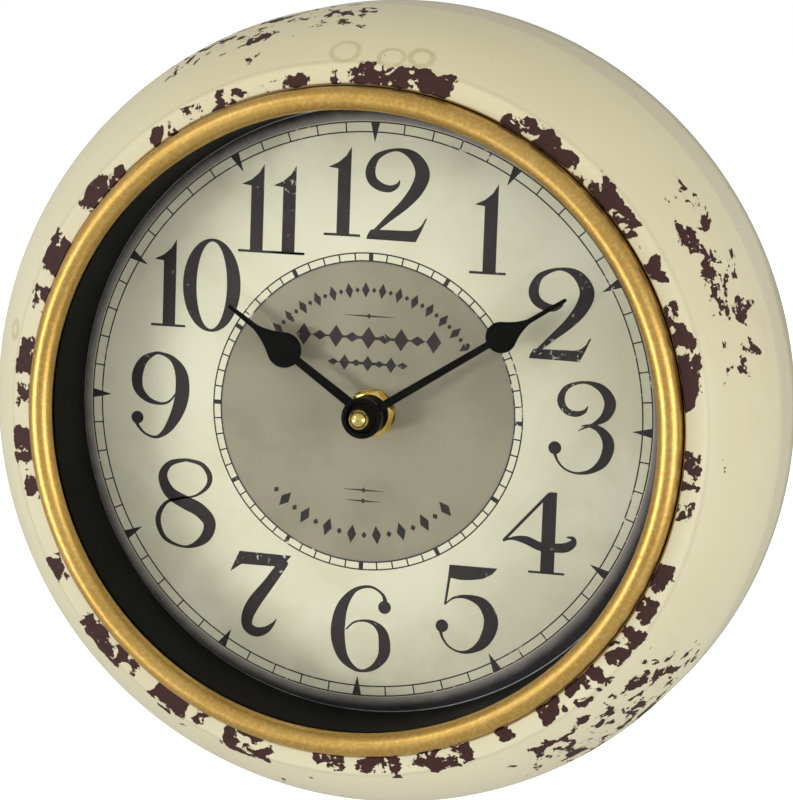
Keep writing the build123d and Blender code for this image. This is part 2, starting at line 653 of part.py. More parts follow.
HUB_FLOOR_H = MINUTE_H + HAND_T + HUB_T - 1.1
CAP_BALL_H = HUB_FLOOR_H + CAP_NECK
TIP_TOP_H = CAP_BALL_H
with BuildPart() as cap_nut:
    with BuildSketch(SECTION):
        with BuildLine():
            ball_join = (CAP_NECK_R, CAP_BALL_H - (CAP_R**2 - CAP_NECK_R**2) ** 0.5)
            Polyline((0, CAP_BALL_H + CAP_R), (0, CAP_BALL_H + 0.3), (TIP_R + FIT, CAP_BALL_H + 0.3),
                     (TIP_R + FIT, HUB_FLOOR_H), (CAP_NECK_R, HUB_FLOOR_H), ball_join)
            ThreePointArc(ball_join, (CAP_R, CAP_BALL_H), (0, CAP_BALL_H + CAP_R))
        make_face()
    revolve(axis=Axis.Y)
save(cap_nut.part, "cap_nut")

# ================================================================ Motion work
cannon_phase = TOWARD_MOTION
motion_phase = mating_phase(cannon_phase, CANNON_TEETH, TOWARD_MOTION, MOTION_TEETH)
motion_pinion_phase = TOWARD_MOTION + 180
hour_phase = mating_phase(motion_pinion_phase, MOTION_PINION_TEETH, TOWARD_MOTION + 180, HOUR_TEETH)
knob_phase = mating_phase(motion_phase, MOTION_TEETH, TOWARD_KNOB, KNOB_TEETH)

# Minute arbor: rear pivot in the mid plate, cannon pinion, long shank and threaded end
with BuildPart() as minute_arbor:
    cannon_h = layer_h("motion")
    with BuildSketch(front(cannon_h)):
        with BuildLine():
            Polyline(*tooth_outline(CANNON_TEETH, MOTION_MODULE, cannon_phase), close=True)
        make_face()
    extrude(amount=WHEEL_T + 0.1)
    for low_h, high_h, radius in (
        (MID_PLATE_H + 0.1, cannon_h, TIP_R),
        (cannon_h, HUB_FLOOR_H, ARBOR_R),
        (HUB_FLOOR_H, TIP_TOP_H, TIP_R),
    ):
        with BuildSketch(front(low_h)):
            Circle(radius)
        extrude(amount=high_h - low_h)
save(minute_arbor.part, "minute_arbor")

with BuildPart() as motion_wheel:
    for height, teeth, module, phase, thick in (
        (layer_h("motion"), MOTION_TEETH, MOTION_MODULE, motion_phase, WHEEL_T),
        (layer_h("motion") + WHEEL_T, MOTION_PINION_TEETH, HOUR_MODULE, motion_pinion_phase,
         layer_h("hour") - layer_h("motion") + 0.1),
    ):
        with BuildSketch(front(height)):
            with BuildLine():
                Polyline(*tooth_outline(teeth, module, phase, MOTION), close=True)
            make_face()
            with Locations(MOTION):
                Circle(SHAFT_R + 0.3 + FIT, mode=Mode.SUBTRACT)
        extrude(amount=thick)
save(motion_wheel.part, "motion_wheel")

with BuildPart() as hour_wheel:
    with BuildSketch(front(layer_h("hour"))):
        with BuildLine():
            Polyline(*tooth_outline(HOUR_TEETH, HOUR_MODULE, hour_phase), close=True)
        make_face()
    extrude(amount=WHEEL_T)
    with BuildSketch(front(layer_h("hour"))):
        Circle(PIPE_R)
    extrude(amount=HOUR_H + HAND_T + 0.3 - layer_h("hour"))
    with BuildSketch(front(layer_h("hour"))):
        Circle(ARBOR_R + FIT)
    extrude(amount=HOUR_H + HAND_T + 1 - layer_h("hour"), mode=Mode.SUBTRACT)
save(hour_wheel.part, "hour_wheel")

# Setting knob: ribbed disc behind the case, and a shaft with a pinion that drives the motion wheel
with BuildPart() as setting_knob:
    knob_top_h = MOVE_BACK_H - KNOB_GAP
    with BuildSketch(front(knob_top_h - KNOB_T)):
        with Locations(KNOB):
            Circle(KNOB_R)
            with PolarLocations(KNOB_R, KNOB_RIBS):
                Circle(0.35, mode=Mode.SUBTRACT)
    extrude(amount=KNOB_T)
    with BuildSketch(front(knob_top_h - KNOB_T)):
        with Locations(KNOB):
            Circle(KNOB_R * 0.55)
    extrude(amount=0.5, mode=Mode.SUBTRACT)
    with BuildSketch(front(knob_top_h)):
        with Locations(KNOB):
            Circle(KNOB_SHAFT_R)
    extrude(amount=COVER_BACK_H + PIVOT_DEPTH - PIVOT_SHORT - knob_top_h)
    with BuildSketch(front(layer_h("motion"))):
        with BuildLine():
            Polyline(*tooth_outline(KNOB_TEETH, MOTION_MODULE, knob_phase, KNOB), close=True)
        make_face()
    extrude(amount=WHEEL_T)
save(setting_knob.part, "setting_knob")

# ================================================================ Going train
third_pinion_phase = TOWARD_THIRD + 180
centre_phase = mating_phase(third_pinion_phase, THIRD_PINION_TEETH, TOWARD_THIRD + 180, CENTRE_TEETH)
second_pinion_phase = TOWARD_SECOND + 180
third_phase = mating_phase(second_pinion_phase, SECOND_PINION_TEETH, TOWARD_SECOND + 180, THIRD_TEETH)
fast_pinion_phase = TOWARD_FAST + 180
second_phase = mating_phase(fast_pinion_phase, FAST_PINION_TEETH, TOWARD_FAST + 180, SECOND_TEETH)
rotor_phase = TOWARD_ROTOR + 180
fast_phase = mating_phase(rotor_phase, ROTOR_TEETH, TOWARD_ROTOR + 180, FAST_TEETH)

# Centre wheel: turns the minute arbor through a friction clutch, so the hands can be set
with BuildPart() as centre_wheel:
    with BuildSketch(front(layer_h("centre"))):
        with BuildLine():
            Polyline(*tooth_outline(CENTRE_TEETH, TRAIN_MODULE, centre_phase), close=True)
        make_face()
        Circle(TIP_R + FIT, mode=Mode.SUBTRACT)
    extrude(amount=WHEEL_T)
    with BuildSketch(front(layer_h("centre") + WHEEL_T)):
        Circle(2.6)
        Circle(TIP_R + FIT, mode=Mode.SUBTRACT)
    extrude(amount=0.8)
save(centre_wheel.part, "centre_wheel")


def train_wheel(at, gears, low_h, high_h):
    """A wheel and its pinion on one shaft; gears lists (height, teeth, module, phase, thickness)."""
    with BuildPart() as wheel:
        with BuildSketch(front(low_h)):
            with Locations(at):
                Circle(SHAFT_R)
        extrude(amount=high_h - low_h)
        for height, teeth, module, phase, thick in gears:
            with BuildSketch(front(height)):
                with BuildLine():
                    Polyline(*tooth_outline(teeth, module, phase, at), close=True)
                make_face()
            extrude(amount=thick)
    return wheel.part


PIVOT_LOW_H = MOVE_BACK_H + MOVE_WALL - PIVOT_DEPTH + PIVOT_SHORT
PIVOT_HIGH_H = COVER_BACK_H + PIVOT_DEPTH - PIVOT_SHORT
MID_PIVOT_H = MID_PLATE_H + MID_PLATE_T - 0.1

save(train_wheel(THIRD, (
    (layer_h("third"), THIRD_TEETH, TRAIN_MODULE, third_phase, WHEEL_T),
    (layer_h("centre") - 0.1, THIRD_PINION_TEETH, TRAIN_MODULE, third_pinion_phase, WHEEL_T + 0.2),
), PIVOT_LOW_H, PIVOT_HIGH_H), "third_wheel")

save(train_wheel(SECOND, (
    (layer_h("second"), SECOND_TEETH, FAST_MODULE, second_phase, WHEEL_T),
    (layer_h("third") - 0.1, SECOND_PINION_TEETH, TRAIN_MODULE, second_pinion_phase, WHEEL_T + 0.2),
), PIVOT_LOW_H, MID_PIVOT_H), "second_wheel")

save(train_wheel(FAST, (
    (layer_h("fast"), FAST_TEETH, FAST_MODULE, fast_phase, WHEEL_T),
    (layer_h("second") - 0.1, FAST_PINION_TEETH, FAST_MODULE, fast_pinion_phase, WHEEL_T + 0.2),
), PIVOT_LOW_H, MID_PIVOT_H), "intermediate_wheel")

ROTOR_LOW_H = layer_h("second") + 0.3
with BuildPart() as rotor:
    add(train_wheel(ROTOR, (
        (layer_h("fast") - 0.1, ROTOR_TEETH, FAST_MODULE, rotor_phase, WHEEL_T + 0.2),
    ), PIVOT_LOW_H, MID_PIVOT_H))
    with BuildSketch(front(ROTOR_LOW_H)):
        with Locations(ROTOR):
            Circle(ROTOR_R)
    extrude(amount=ROTOR_T)
save(rotor.part, "rotor")

# ================================================================ Motor and circuit
STATOR_H = ROTOR_LOW_H + (ROTOR_T - STATOR_T) / 2
RIGHT_PAD_X = (COIL_X[1] + 0.4, COIL_X[1] + 4.4)
ARM_Z = (CAVITY_HALF - 1.6, CAVITY_HALF - 0.4)
with BuildPart() as stator_plate:
    with BuildSketch(front(STATOR_H)):
        block_x = (ROTOR[0] - ROTOR_R - 1.8, COIL_X[0] - 0.4)
        block_z = (ROTOR[1] - ROTOR_R - 0.8, ARM_Z[1])
        for span_x, span_z in (
            (block_x, block_z),
            ((block_x[0], RIGHT_PAD_X[1]), ARM_Z),
            (RIGHT_PAD_X, (COIL_Z - CORE_W, ARM_Z[1])),
        ):
            with Locations(((span_x[0] + span_x[1]) / 2, (span_z[0] + span_z[1]) / 2)):
                Rectangle(span_x[1] - span_x[0], span_z[1] - span_z[0])
        with Locations(ROTOR):
            Circle(ROTOR_R + ROTOR_GAP, mode=Mode.SUBTRACT)
    extrude(amount=STATOR_T)
save(stator_plate.part, "stator_plate")

CORE_H = STATOR_H + STATOR_T
CORE_X = (COIL_X[0] - 3.0, RIGHT_PAD_X[1] - 0.4)
with BuildPart() as coil_core:
    with BuildSketch(front(CORE_H)):
        with Locations(((CORE_X[0] + CORE_X[1]) / 2, COIL_Z)):
            Rectangle(CORE_X[1] - CORE_X[0], CORE_W)
    extrude(amount=STATOR_T)
save(coil_core.part, "coil_core")

# Across the coil: local x runs towards the wall and local y runs up
CORE_MID = (-(CORE_H + STATOR_T / 2), COIL_Z)


def across(x):
    """The plane square to the coil at a place along it."""
    return Plane.YZ.offset(x)


with BuildPart() as coil_bobbin:
    with BuildSketch(across(COIL_X[0])):
        with Locations(CORE_MID):
            RectangleRounded(COIL_CORE, COIL_CORE, 0.5)
    extrude(amount=COIL_X[1] - COIL_X[0])
    for flange_x in (COIL_X[0], COIL_X[1] - COIL_FLANGE_T):
        with BuildSketch(across(flange_x)):
            with Locations(CORE_MID):
                RectangleRounded(COIL_FLANGE, COIL_FLANGE, 1)
        extrude(amount=COIL_FLANGE_T)
    with BuildSketch(across(COIL_X[0])):
        with Locations(CORE_MID):
            Rectangle(STATOR_T + CORE_SLOT_GAP, CORE_W + CORE_SLOT_GAP)
    extrude(amount=COIL_X[1] - COIL_X[0], mode=Mode.SUBTRACT)
save(coil_bobbin.part, "coil_bobbin")

with BuildPart() as coil_winding:
    with BuildSketch(across(COIL_X[0] + COIL_FLANGE_T)):
        with Locations(CORE_MID):
            Circle(COIL_R)
            RectangleRounded(COIL_CORE, COIL_CORE, 0.5, mode=Mode.SUBTRACT)
    extrude(amount=COIL_X[1] - COIL_X[0] - 2 * COIL_FLANGE_T)
save(coil_winding.part, "coil_winding")

BOARD_H = MOVE_BACK_H + MOVE_WALL + BOARD_GAP
BOARD_MID = ((BOARD_X[0] + BOARD_X[1]) / 2, (BOARD_Z[0] + BOARD_Z[1]) / 2)
BOARD_TOP_H = BOARD_H + BOARD_T
with BuildPart() as circuit_board:
    with BuildSketch(front(BOARD_H)):
        with Locations(BOARD_MID):
            Rectangle(BOARD_X[1] - BOARD_X[0], BOARD_Z[1] - BOARD_Z[0])
    extrude(amount=BOARD_T)
    with BuildSketch(front(BOARD_H)):
        with Locations(BOARD_MID):
            with GridLocations(0, BOARD_Z[1] - BOARD_Z[0] - 4, 1, 2):
                Circle(1)
    extrude(amount=-BOARD_GAP)
save(circuit_board.part, "circuit_board")

with BuildPart() as quartz_crystal:
    with BuildSketch(Plane.XY.offset(BOARD_Z[1] - CRYSTAL_LENGTH - 3)):
        with Locations((BOARD_MID[0], -(BOARD_TOP_H + 0.1 + CRYSTAL_R))):
            Circle(CRYSTAL_R)
    extrude(amount=CRYSTAL_LENGTH)
    fillet(quartz_crystal.edges().filter_by(GeomType.CIRCLE), 0.2)
save(quartz_crystal.part, "quartz_crystal")

with BuildPart() as control_chip:
    with BuildSketch(front(BOARD_TOP_H)):
        with Locations((BOARD_MID[0], BOARD_Z[0] + 6)):
            Circle(CHIP_R)
    extrude(amount=CHIP_T)
    fillet(control_chip.edges().filter_by(GeomType.CIRCLE).group_by(Axis.Y)[0], CHIP_T * 0.8)
save(control_chip.part, "control_chip")

# ================================================================ Battery and its contacts
CELL_START_X = -(CELL_LENGTH + CELL_NUB) / 2
CELL_MID = (-CELL_H, CELL_Z)
with BuildPart() as battery_cell:
    with BuildSketch(across(CELL_START_X)):
        with Locations(CELL_MID):
            Circle(CELL_R - SLEEVE_T - 0.02)
    extrude(amount=CELL_LENGTH)
    fillet(battery_cell.edges().filter_by(GeomType.CIRCLE), 0.5)
    with BuildSketch(across(CELL_START_X + CELL_LENGTH)):
        with Locations(CELL_MID):
            Circle(CELL_NUB_R)
    extrude(amount=CELL_NUB)
save(battery_cell.part, "battery_cell")

with BuildPart() as battery_sleeve:
    with BuildSketch(across(CELL_START_X + 0.6)):
        with Locations(CELL_MID):
            Circle(CELL_R)
            Circle(CELL_R - SLEEVE_T, mode=Mode.SUBTRACT)
    extrude(amount=CELL_LENGTH - 1.2)
save(battery_sleeve.part, "battery_sleeve")

with BuildPart() as contact_positive:
    with BuildSketch(across(BAY_HALF - CONTACT_T)):
        with Locations(CELL_MID):
            RectangleRounded(CONTACT_W, CONTACT_W, 1)
    extrude(amount=CONTACT_T)
save(contact_positive.part, "contact_positive")

# Spring leaf: a flat foot on the end wall and a bowed tongue that presses on the cell
with BuildPart() as contact_negative:
    bow = BAY_HALF + CELL_START_X - CELL_GAP
    with BuildSketch(Plane.XY.offset(CELL_Z - CONTACT_W / 2)):
        with BuildLine():
            foot_low, foot_high = -CELL_H - 5, -CELL_H + 5
            Polyline((-BAY_HALF, foot_high), (-BAY_HALF, foot_low), (-BAY_HALF + CONTACT_T, foot_low))
            ThreePointArc((-BAY_HALF + CONTACT_T, foot_low), (-BAY_HALF + bow, -CELL_H),
                          (-BAY_HALF + CONTACT_T, foot_high))
            Line((-BAY_HALF + CONTACT_T, foot_high), (-BAY_HALF, foot_high))
        make_face()
    extrude(amount=CONTACT_W)
save(contact_negative.part, "contact_negative")
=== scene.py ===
"""Looks of the retro wall clock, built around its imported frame.

Sizes are in millimetres in the clock's own terms: x to the right, z up, h the distance in front of the wall,
r and clock degrees (clockwise from twelve) about the hand shaft. at() turns them into the frame's metres.
"""
import json
from math import atan2, cos, hypot, pi, radians, sin

import bpy
from mathutils import Matrix, Vector


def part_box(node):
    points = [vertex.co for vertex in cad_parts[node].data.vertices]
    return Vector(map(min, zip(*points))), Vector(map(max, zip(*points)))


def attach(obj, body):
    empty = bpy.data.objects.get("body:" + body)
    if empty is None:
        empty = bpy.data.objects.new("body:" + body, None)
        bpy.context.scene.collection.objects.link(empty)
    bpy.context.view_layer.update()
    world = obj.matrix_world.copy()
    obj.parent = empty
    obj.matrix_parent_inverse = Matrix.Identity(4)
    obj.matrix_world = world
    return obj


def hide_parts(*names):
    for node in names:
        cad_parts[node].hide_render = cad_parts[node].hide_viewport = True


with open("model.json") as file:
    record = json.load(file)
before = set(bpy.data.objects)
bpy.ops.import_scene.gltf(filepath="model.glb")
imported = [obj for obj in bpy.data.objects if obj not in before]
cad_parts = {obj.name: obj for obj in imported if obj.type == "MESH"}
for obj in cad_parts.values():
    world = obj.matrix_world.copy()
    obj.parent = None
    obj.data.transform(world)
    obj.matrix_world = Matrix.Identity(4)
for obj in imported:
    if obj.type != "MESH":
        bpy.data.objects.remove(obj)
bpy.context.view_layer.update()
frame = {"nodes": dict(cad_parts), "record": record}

MM = 0.001

# ---- Camera, which looks at the dial from the front, the right and a little above
CAMERA_AZIMUTH = 15.01
CAMERA_ELEVATION = 8.57
CAMERA_ROLL = -1.90
CAMERA_PAN = 0.60
CAMERA_TILT = 0.27
CAMERA_DISTANCE = 0.833
CAMERA_LENS = 128.5
CAMERA_SENSOR = 36.0
LOOK_AT = Vector((-0.0017, -0.0325, 0.0))

# ---- Floor and light
FLOOR_Z = -0.5
FLOOR_SIZE = 60.0
WORLD_DARK = 0.48
WORLD_BRIGHT = 0.66
WORLD_BRIGHT_SIDE = (-0.25, -0.9, -0.35)
WORLD_RAMP = (-0.7, 0.9)     # how far towards the bright side the light starts and stops rising
LIGHTS = (
    # name, place in metres, size, watts
    ("high_light", (-1.2, -1.6, 1.0), 0.5, 4.0),
    ("low_light", (-1.3, -1.5, -0.35), 0.5, 13.0),
    ("side_light", (1.7, -0.9, -0.1), 1.0, 13.0),
)

# ---- Case profile, from the groove of the bezel over the shoulder to the wall
CASE_R = 119.4
BAND_R = 96.4
GROOVE_R = 95.7
CREASE_R = 101.8
CREASE_H = 56.6
BAND_H = 58.7
FLANK_R = 118.3
FLANK_H = 22.4
SHOULDER_SAG = 3.4
CREASE_ROUND = 0.8
BAND_ROUND = 0.25
RIM_ROLL = 1.2
RIM_FOOT = 3.0
BACK_RECESS = 2.4
FLANGE_IN_R = 107.5
SHEET_T = 0.8
GROOVE_LIP = (0.3, 0.9)  # rounded start of the sheet at the groove, along r and h
FOOT_SLOPE = 0.4
FRONT_STOPS = (0.15, 0.3, 0.45, 0.6, 0.7)
ROLL_STOPS = (0.4, 0.8, 1.2, pi / 2)
SHOULDER_STEPS = 44
FLANK_STEPS = 20
LATHE_STEPS = 720
SHARP_ANGLE = 40
CHIP_LEVEL = 0.59        # the enamel is gone where the chip density and its noise pass this
EDGE_CHIPS = 0.14        # chip density at the inner edge of the band
EDGE_CHIPS_W = 1.2
BAND_BLUR = (1.7, 2.6)   # how far a chipped place fades, in degrees and in mm
SHOULDER_BLUR = (5.0, 6.0)

# ---- Print on the dial
TRACK_R = 84.5
PRINT_X = -1.7           # the print sits this far to the left of the shaft
NUMERAL_R = 0.76 * TRACK_R
DISC_R = 0.525 * TRACK_R
PAPER_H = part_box("dial_paper")[0].y / -MM
INK_SINK = 0.03
INK_T = 0.02
INK_STEP = 0.002
NUMERAL_WEAR = 0.665     # a lower value rubs away more of the ink
TRACK_WEAR = 0.625
LINE_W = 0.42
FIVE_MINUTE_W = 1.3
OUTER_TRACK = (0.966 * TRACK_R, TRACK_R)
INNER_TRACK = (DISC_R, 0.552 * TRACK_R)
HOUR_POINT = (0.933 * TRACK_R, TRACK_R)
HOUR_POINT_W = (0.12, 2.8)   # at its tip and at its base

# ---- Main colours
CREAM = (0.84, 0.785, 0.545)
CREAM_AGED = (0.79, 0.72, 0.47)
# Colour of the painted shade on the top of the case
CREAM_TOP_SHADE = (0.76, 0.67, 0.38)
RIM_BROWN = (0.34, 0.27, 0.19)
UNDERCOAT = (0.072, 0.019, 0.015)
UNDERCOAT_DARK = (0.026, 0.0075, 0.0065)
GOLD_DEEP = (0.53, 0.30, 0.058)
GOLD = (0.73, 0.475, 0.14)
GOLD_SPARK = (0.86, 0.62, 0.25)
GOLD_SCUFF = (0.34, 0.19, 0.05)
PAPER = (0.65, 0.63, 0.47)
PAPER_AGED = (0.565, 0.54, 0.375)
DISC_GREY = (0.275, 0.25, 0.175)
DISC_GREY_AGED = (0.232, 0.21, 0.145)
# Grey of the painted reflection of the dial next to the track
BORDER_REFLECTION_GREY = (0.27, 0.245, 0.215)
BORDER_BLACK = (0.014, 0.012, 0.012)

# Chipped places: from and to in clock degrees, from and to in mm along the profile, and how dense
BAND_CHIPS = (
    (0, 6, 0, 5.5, 0.72), (6, 15, 0, 6, 0.75), (26, 52, 0, 4.6, 0.74), (53, 55, 0, 2, 0.6),
    (59, 62, 0, 4, 0.7), (66, 71, 0, 4, 0.7), (72, 80, 0, 4.8, 0.78), (81, 83, 0, 3, 0.65),
    (89, 96, 0, 4.5, 0.7), (99, 101, 0, 4, 0.7), (110, 114, 0, 4, 0.72), (116, 119, 0, 4, 0.7),
    (122, 128, 0, 6, 0.74), (131, 137, 0, 8, 0.7), (139, 143, 0, 5, 0.68), (149, 151, 0, 4, 0.68),
    (157, 164, 0, 6.5, 0.8), (165, 167, 0, 4, 0.66), (169.5, 171, 0, 8, 0.7), (172, 177, 0, 5, 0.7),
    (179, 184, 0, 5, 0.68), (192, 200, 0, 8, 0.76), (204.5, 206, 0, 4, 0.68), (208, 214, 0.5, 9, 0.76),
    (218.5, 219.7, 1, 5, 0.68), (222, 231, 1, 8.5, 0.78), (239, 243, 1, 6, 0.72), (253, 256, 0.5, 5, 0.7),
    (260, 265, 0, 6.5, 0.76), (270, 273, 0, 4, 0.68), (275, 280, 0, 5, 0.7), (281, 282, 0, 3, 0.66),
    (286, 289, 0, 4, 0.7), (293, 299, 0, 7, 0.76), (306, 312, 0, 5, 0.7), (314, 315.2, 0, 3, 0.66),
    (323, 326, 0, 4, 0.7), (330, 336, 0, 4.6, 0.7), (338, 340, 0, 3, 0.66), (342, 351, 0, 2.6, 0.58),
    (356, 360, 0, 4, 0.68),
)
SHOULDER_CHIPS = (
    (53, 77, 15, 31, 0.45), (57, 64, 17, 26, 0.5), (66, 71, 18, 27, 0.52), (124, 151, 13, 38, 0.46),
    (126, 136, 17, 30, 0.52), (328, 358, 24, 42, 0.43),
)

# Ornament in place of the dial's lettering. Rows: name, radius, clock angles, half width and half height.
ORNAMENT_ARCS = (
    ("upper_ornament", 0.425 * TRACK_R, range(-50, 62, 4), 1.15, 2.3),
    ("lower_ornament", 0.43 * TRACK_R, range(137, 228, 6), 1.4, 2.8),
)
SMALL_TALL = 0.36            # every other diamond of an arc, as a share of the large ones
SMALL_WIDE = 0.6
# Rows of diamonds: z, half length, half height and gap. Rules: z and half length.
ORNAMENT_ROWS = ((21.9, 20.0, 3.3, 4.9), (14.4, 10.5, 2.3, 3.5))
ORNAMENT_RULES = ((28.3, 7.5), (-23.0, 6.0), (-26.2, 5.2))

# Rings left by old drips: clock degrees, radius and radius of the ring
STAIN_RINGS = ((357.0, 106.5, 3.4), (4.5, 104.0, 2.4), (9.0, 107.0, 3.0), (281.0, 107.0, 2.2))


# ================================================================ Mesh helpers
def at(x, z, h):
    """A point of the frame in metres."""
    return Vector((x * MM, -h * MM, z * MM))


def polar(r, clock):
    """x and z of a point at a radius and a clock angle."""
    return r * sin(radians(clock)), r * cos(radians(clock))


def add_piece(name, points, faces, material, body="case", smooth=False):
    """A closed mesh that rides on a body."""
    mesh = bpy.data.meshes.new(name)
    mesh.from_pydata(points, [], faces)
    mesh.update()
    mesh.materials.append(material)
    mesh.polygons.foreach_set("use_smooth", [smooth] * len(mesh.polygons))
    piece = bpy.data.objects.new(name, mesh)
    bpy.context.scene.collection.objects.link(piece)
    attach(piece, body)
    return piece


class Solid:
    """Points and faces of one piece that is gathered from many flat prisms."""

    def __init__(self):
        self.points = []
        self.faces = []

    def prism(self, outline, low, high):
        """An outline of (x, z) raised between two heights."""
        start, count = len(self.points), len(outline)
        turn = sum(a[0] * b[1] - b[0] * a[1] for a, b in zip(outline, outline[1:] + outline[:1]))
        ring = outline if turn > 0 else outline[::-1]
        self.points += [at(x, z, low) for x, z in ring] + [at(x, z, high) for x, z in ring]
        self.faces.append(tuple(start + count + i for i in range(count)))
        self.faces.append(tuple(start + count - 1 - i for i in range(count)))
        for i in range(count):
            j = (i + 1) % count
            self.faces.append((start + i, start + j, start + count + j, start + count + i))

    def strip(self, left, right, low, high, closed=False):
        """A band between two lines of the same number of points."""
        start, count = len(self.points), len(left)
        for height in (low, high):
            self.points += [at(x, z, height) for x, z in left] + [at(x, z, height) for x, z in right]
        low_left, low_right, high_left, high_right = (start + count * k for k in range(4))
        for i in range(count if closed else count - 1):
            j = (i + 1) % count
            self.faces.append((high_left + i, high_left + j, high_right + j, high_right + i))
            self.faces.append((low_left + j, low_left + i, low_right + i, low_right + j))
            self.faces.append((low_left + i, low_left + j, high_left + j, high_left + i))
            self.faces.append((low_right + j, low_right + i, high_right + i, high_right + j))
        if not closed:
            end = count - 1
            self.faces.append((low_left, high_left, high_right, low_right))
            self.faces.append((low_left + end, low_right + end, high_right + end, high_left + end))

    def ring(self, r_in, r_out, low, high, centre=(0.0, 0.0), squeeze=(1.0, 1.0), steps=240):
        """A flat ring, or an oval one when squeeze gives its half width to half height."""
        turn = [2 * pi * i / steps for i in range(steps)]
        inner = [(centre[0] + r_in * squeeze[0] * sin(a), centre[1] + r_in * cos(a)) for a in turn]
        outer = [(centre[0] + r_out * squeeze[1] * sin(a), centre[1] + r_out * cos(a)) for a in turn]
        self.strip(inner, outer, low, high, closed=True)

    def disc(self, x, z, r, low, high, steps=32):
        self.prism([(x + r * cos(2 * pi * i / steps), z + r * sin(2 * pi * i / steps)) for i in range(steps)],
                   low, high)

    def stroke(self, knots, low, high, origin=(0.0, 0.0), steps=6):
        """A pen stroke through knots of x, z and width, smooth between them."""
        path = smooth_path(knots, steps)
        left, right = [], []
        for i, (x, z, width) in enumerate(path):
            before, after = path[max(i - 1, 0)], path[min(i + 1, len(path) - 1)]
            dx, dz = after[0] - before[0], after[1] - before[1]
            length = hypot(dx, dz) or 1.0
            nx, nz = -dz / length * width / 2, dx / length * width / 2
            left.append((origin[0] + x + nx, origin[1] + z + nz))
            right.append((origin[0] + x - nx, origin[1] + z - nz))
        self.strip(left, right, low, high)


def smooth_path(knots, steps):
    """Points on a Catmull-Rom curve through the knots."""
    ends = [knots[0], *knots, knots[-1]]
    path = []
    for a, b, c, d in zip(ends, ends[1:], ends[2:], ends[3:]):
        for k in range(steps):
            t = k / steps
            path.append(tuple(
                0.5 * (2 * q + (r - p) * t + (2 * p - 5 * q + 4 * r - s) * t * t
                       + (3 * q - p - 3 * r + s) * t ** 3)
                for p, q, r, s in zip(a, b, c, d)))
    path.append(tuple(knots[-1]))
    return path


def arc(start, end, sag, steps):
    """Points of an arc from start to end that bulges to the left of its chord by sag."""
    chord = Vector((end[0] - start[0], end[1] - start[1]))
    radius = (chord.length ** 2 / 4 + sag ** 2) / (2 * sag)
    side = Vector((-chord.y, chord.x)).normalized()
    centre = (Vector(start) + Vector(end)) / 2 + side * (sag - radius)
    first = atan2(start[1] - centre.y, start[0] - centre.x)
    last = atan2(end[1] - centre.y, end[0] - centre.x)
    turns = [first + (last - first) * i / steps for i in range(steps + 1)]
    return [(centre.x + radius * cos(a), centre.y + radius * sin(a)) for a in turns]


def round_corner(before, corner, after, reach, steps):
    """A rounded corner between two straight runs, as points."""
    corner_v = Vector(corner)
    first = corner_v + (Vector(before) - corner_v).normalized() * reach
    last = corner_v + (Vector(after) - corner_v).normalized() * reach
    points = []
    for i in range(steps + 1):
        t = i / steps
        points.append(tuple(first * (1 - t) ** 2 + corner_v * 2 * t * (1 - t) + last * t * t))
    return points


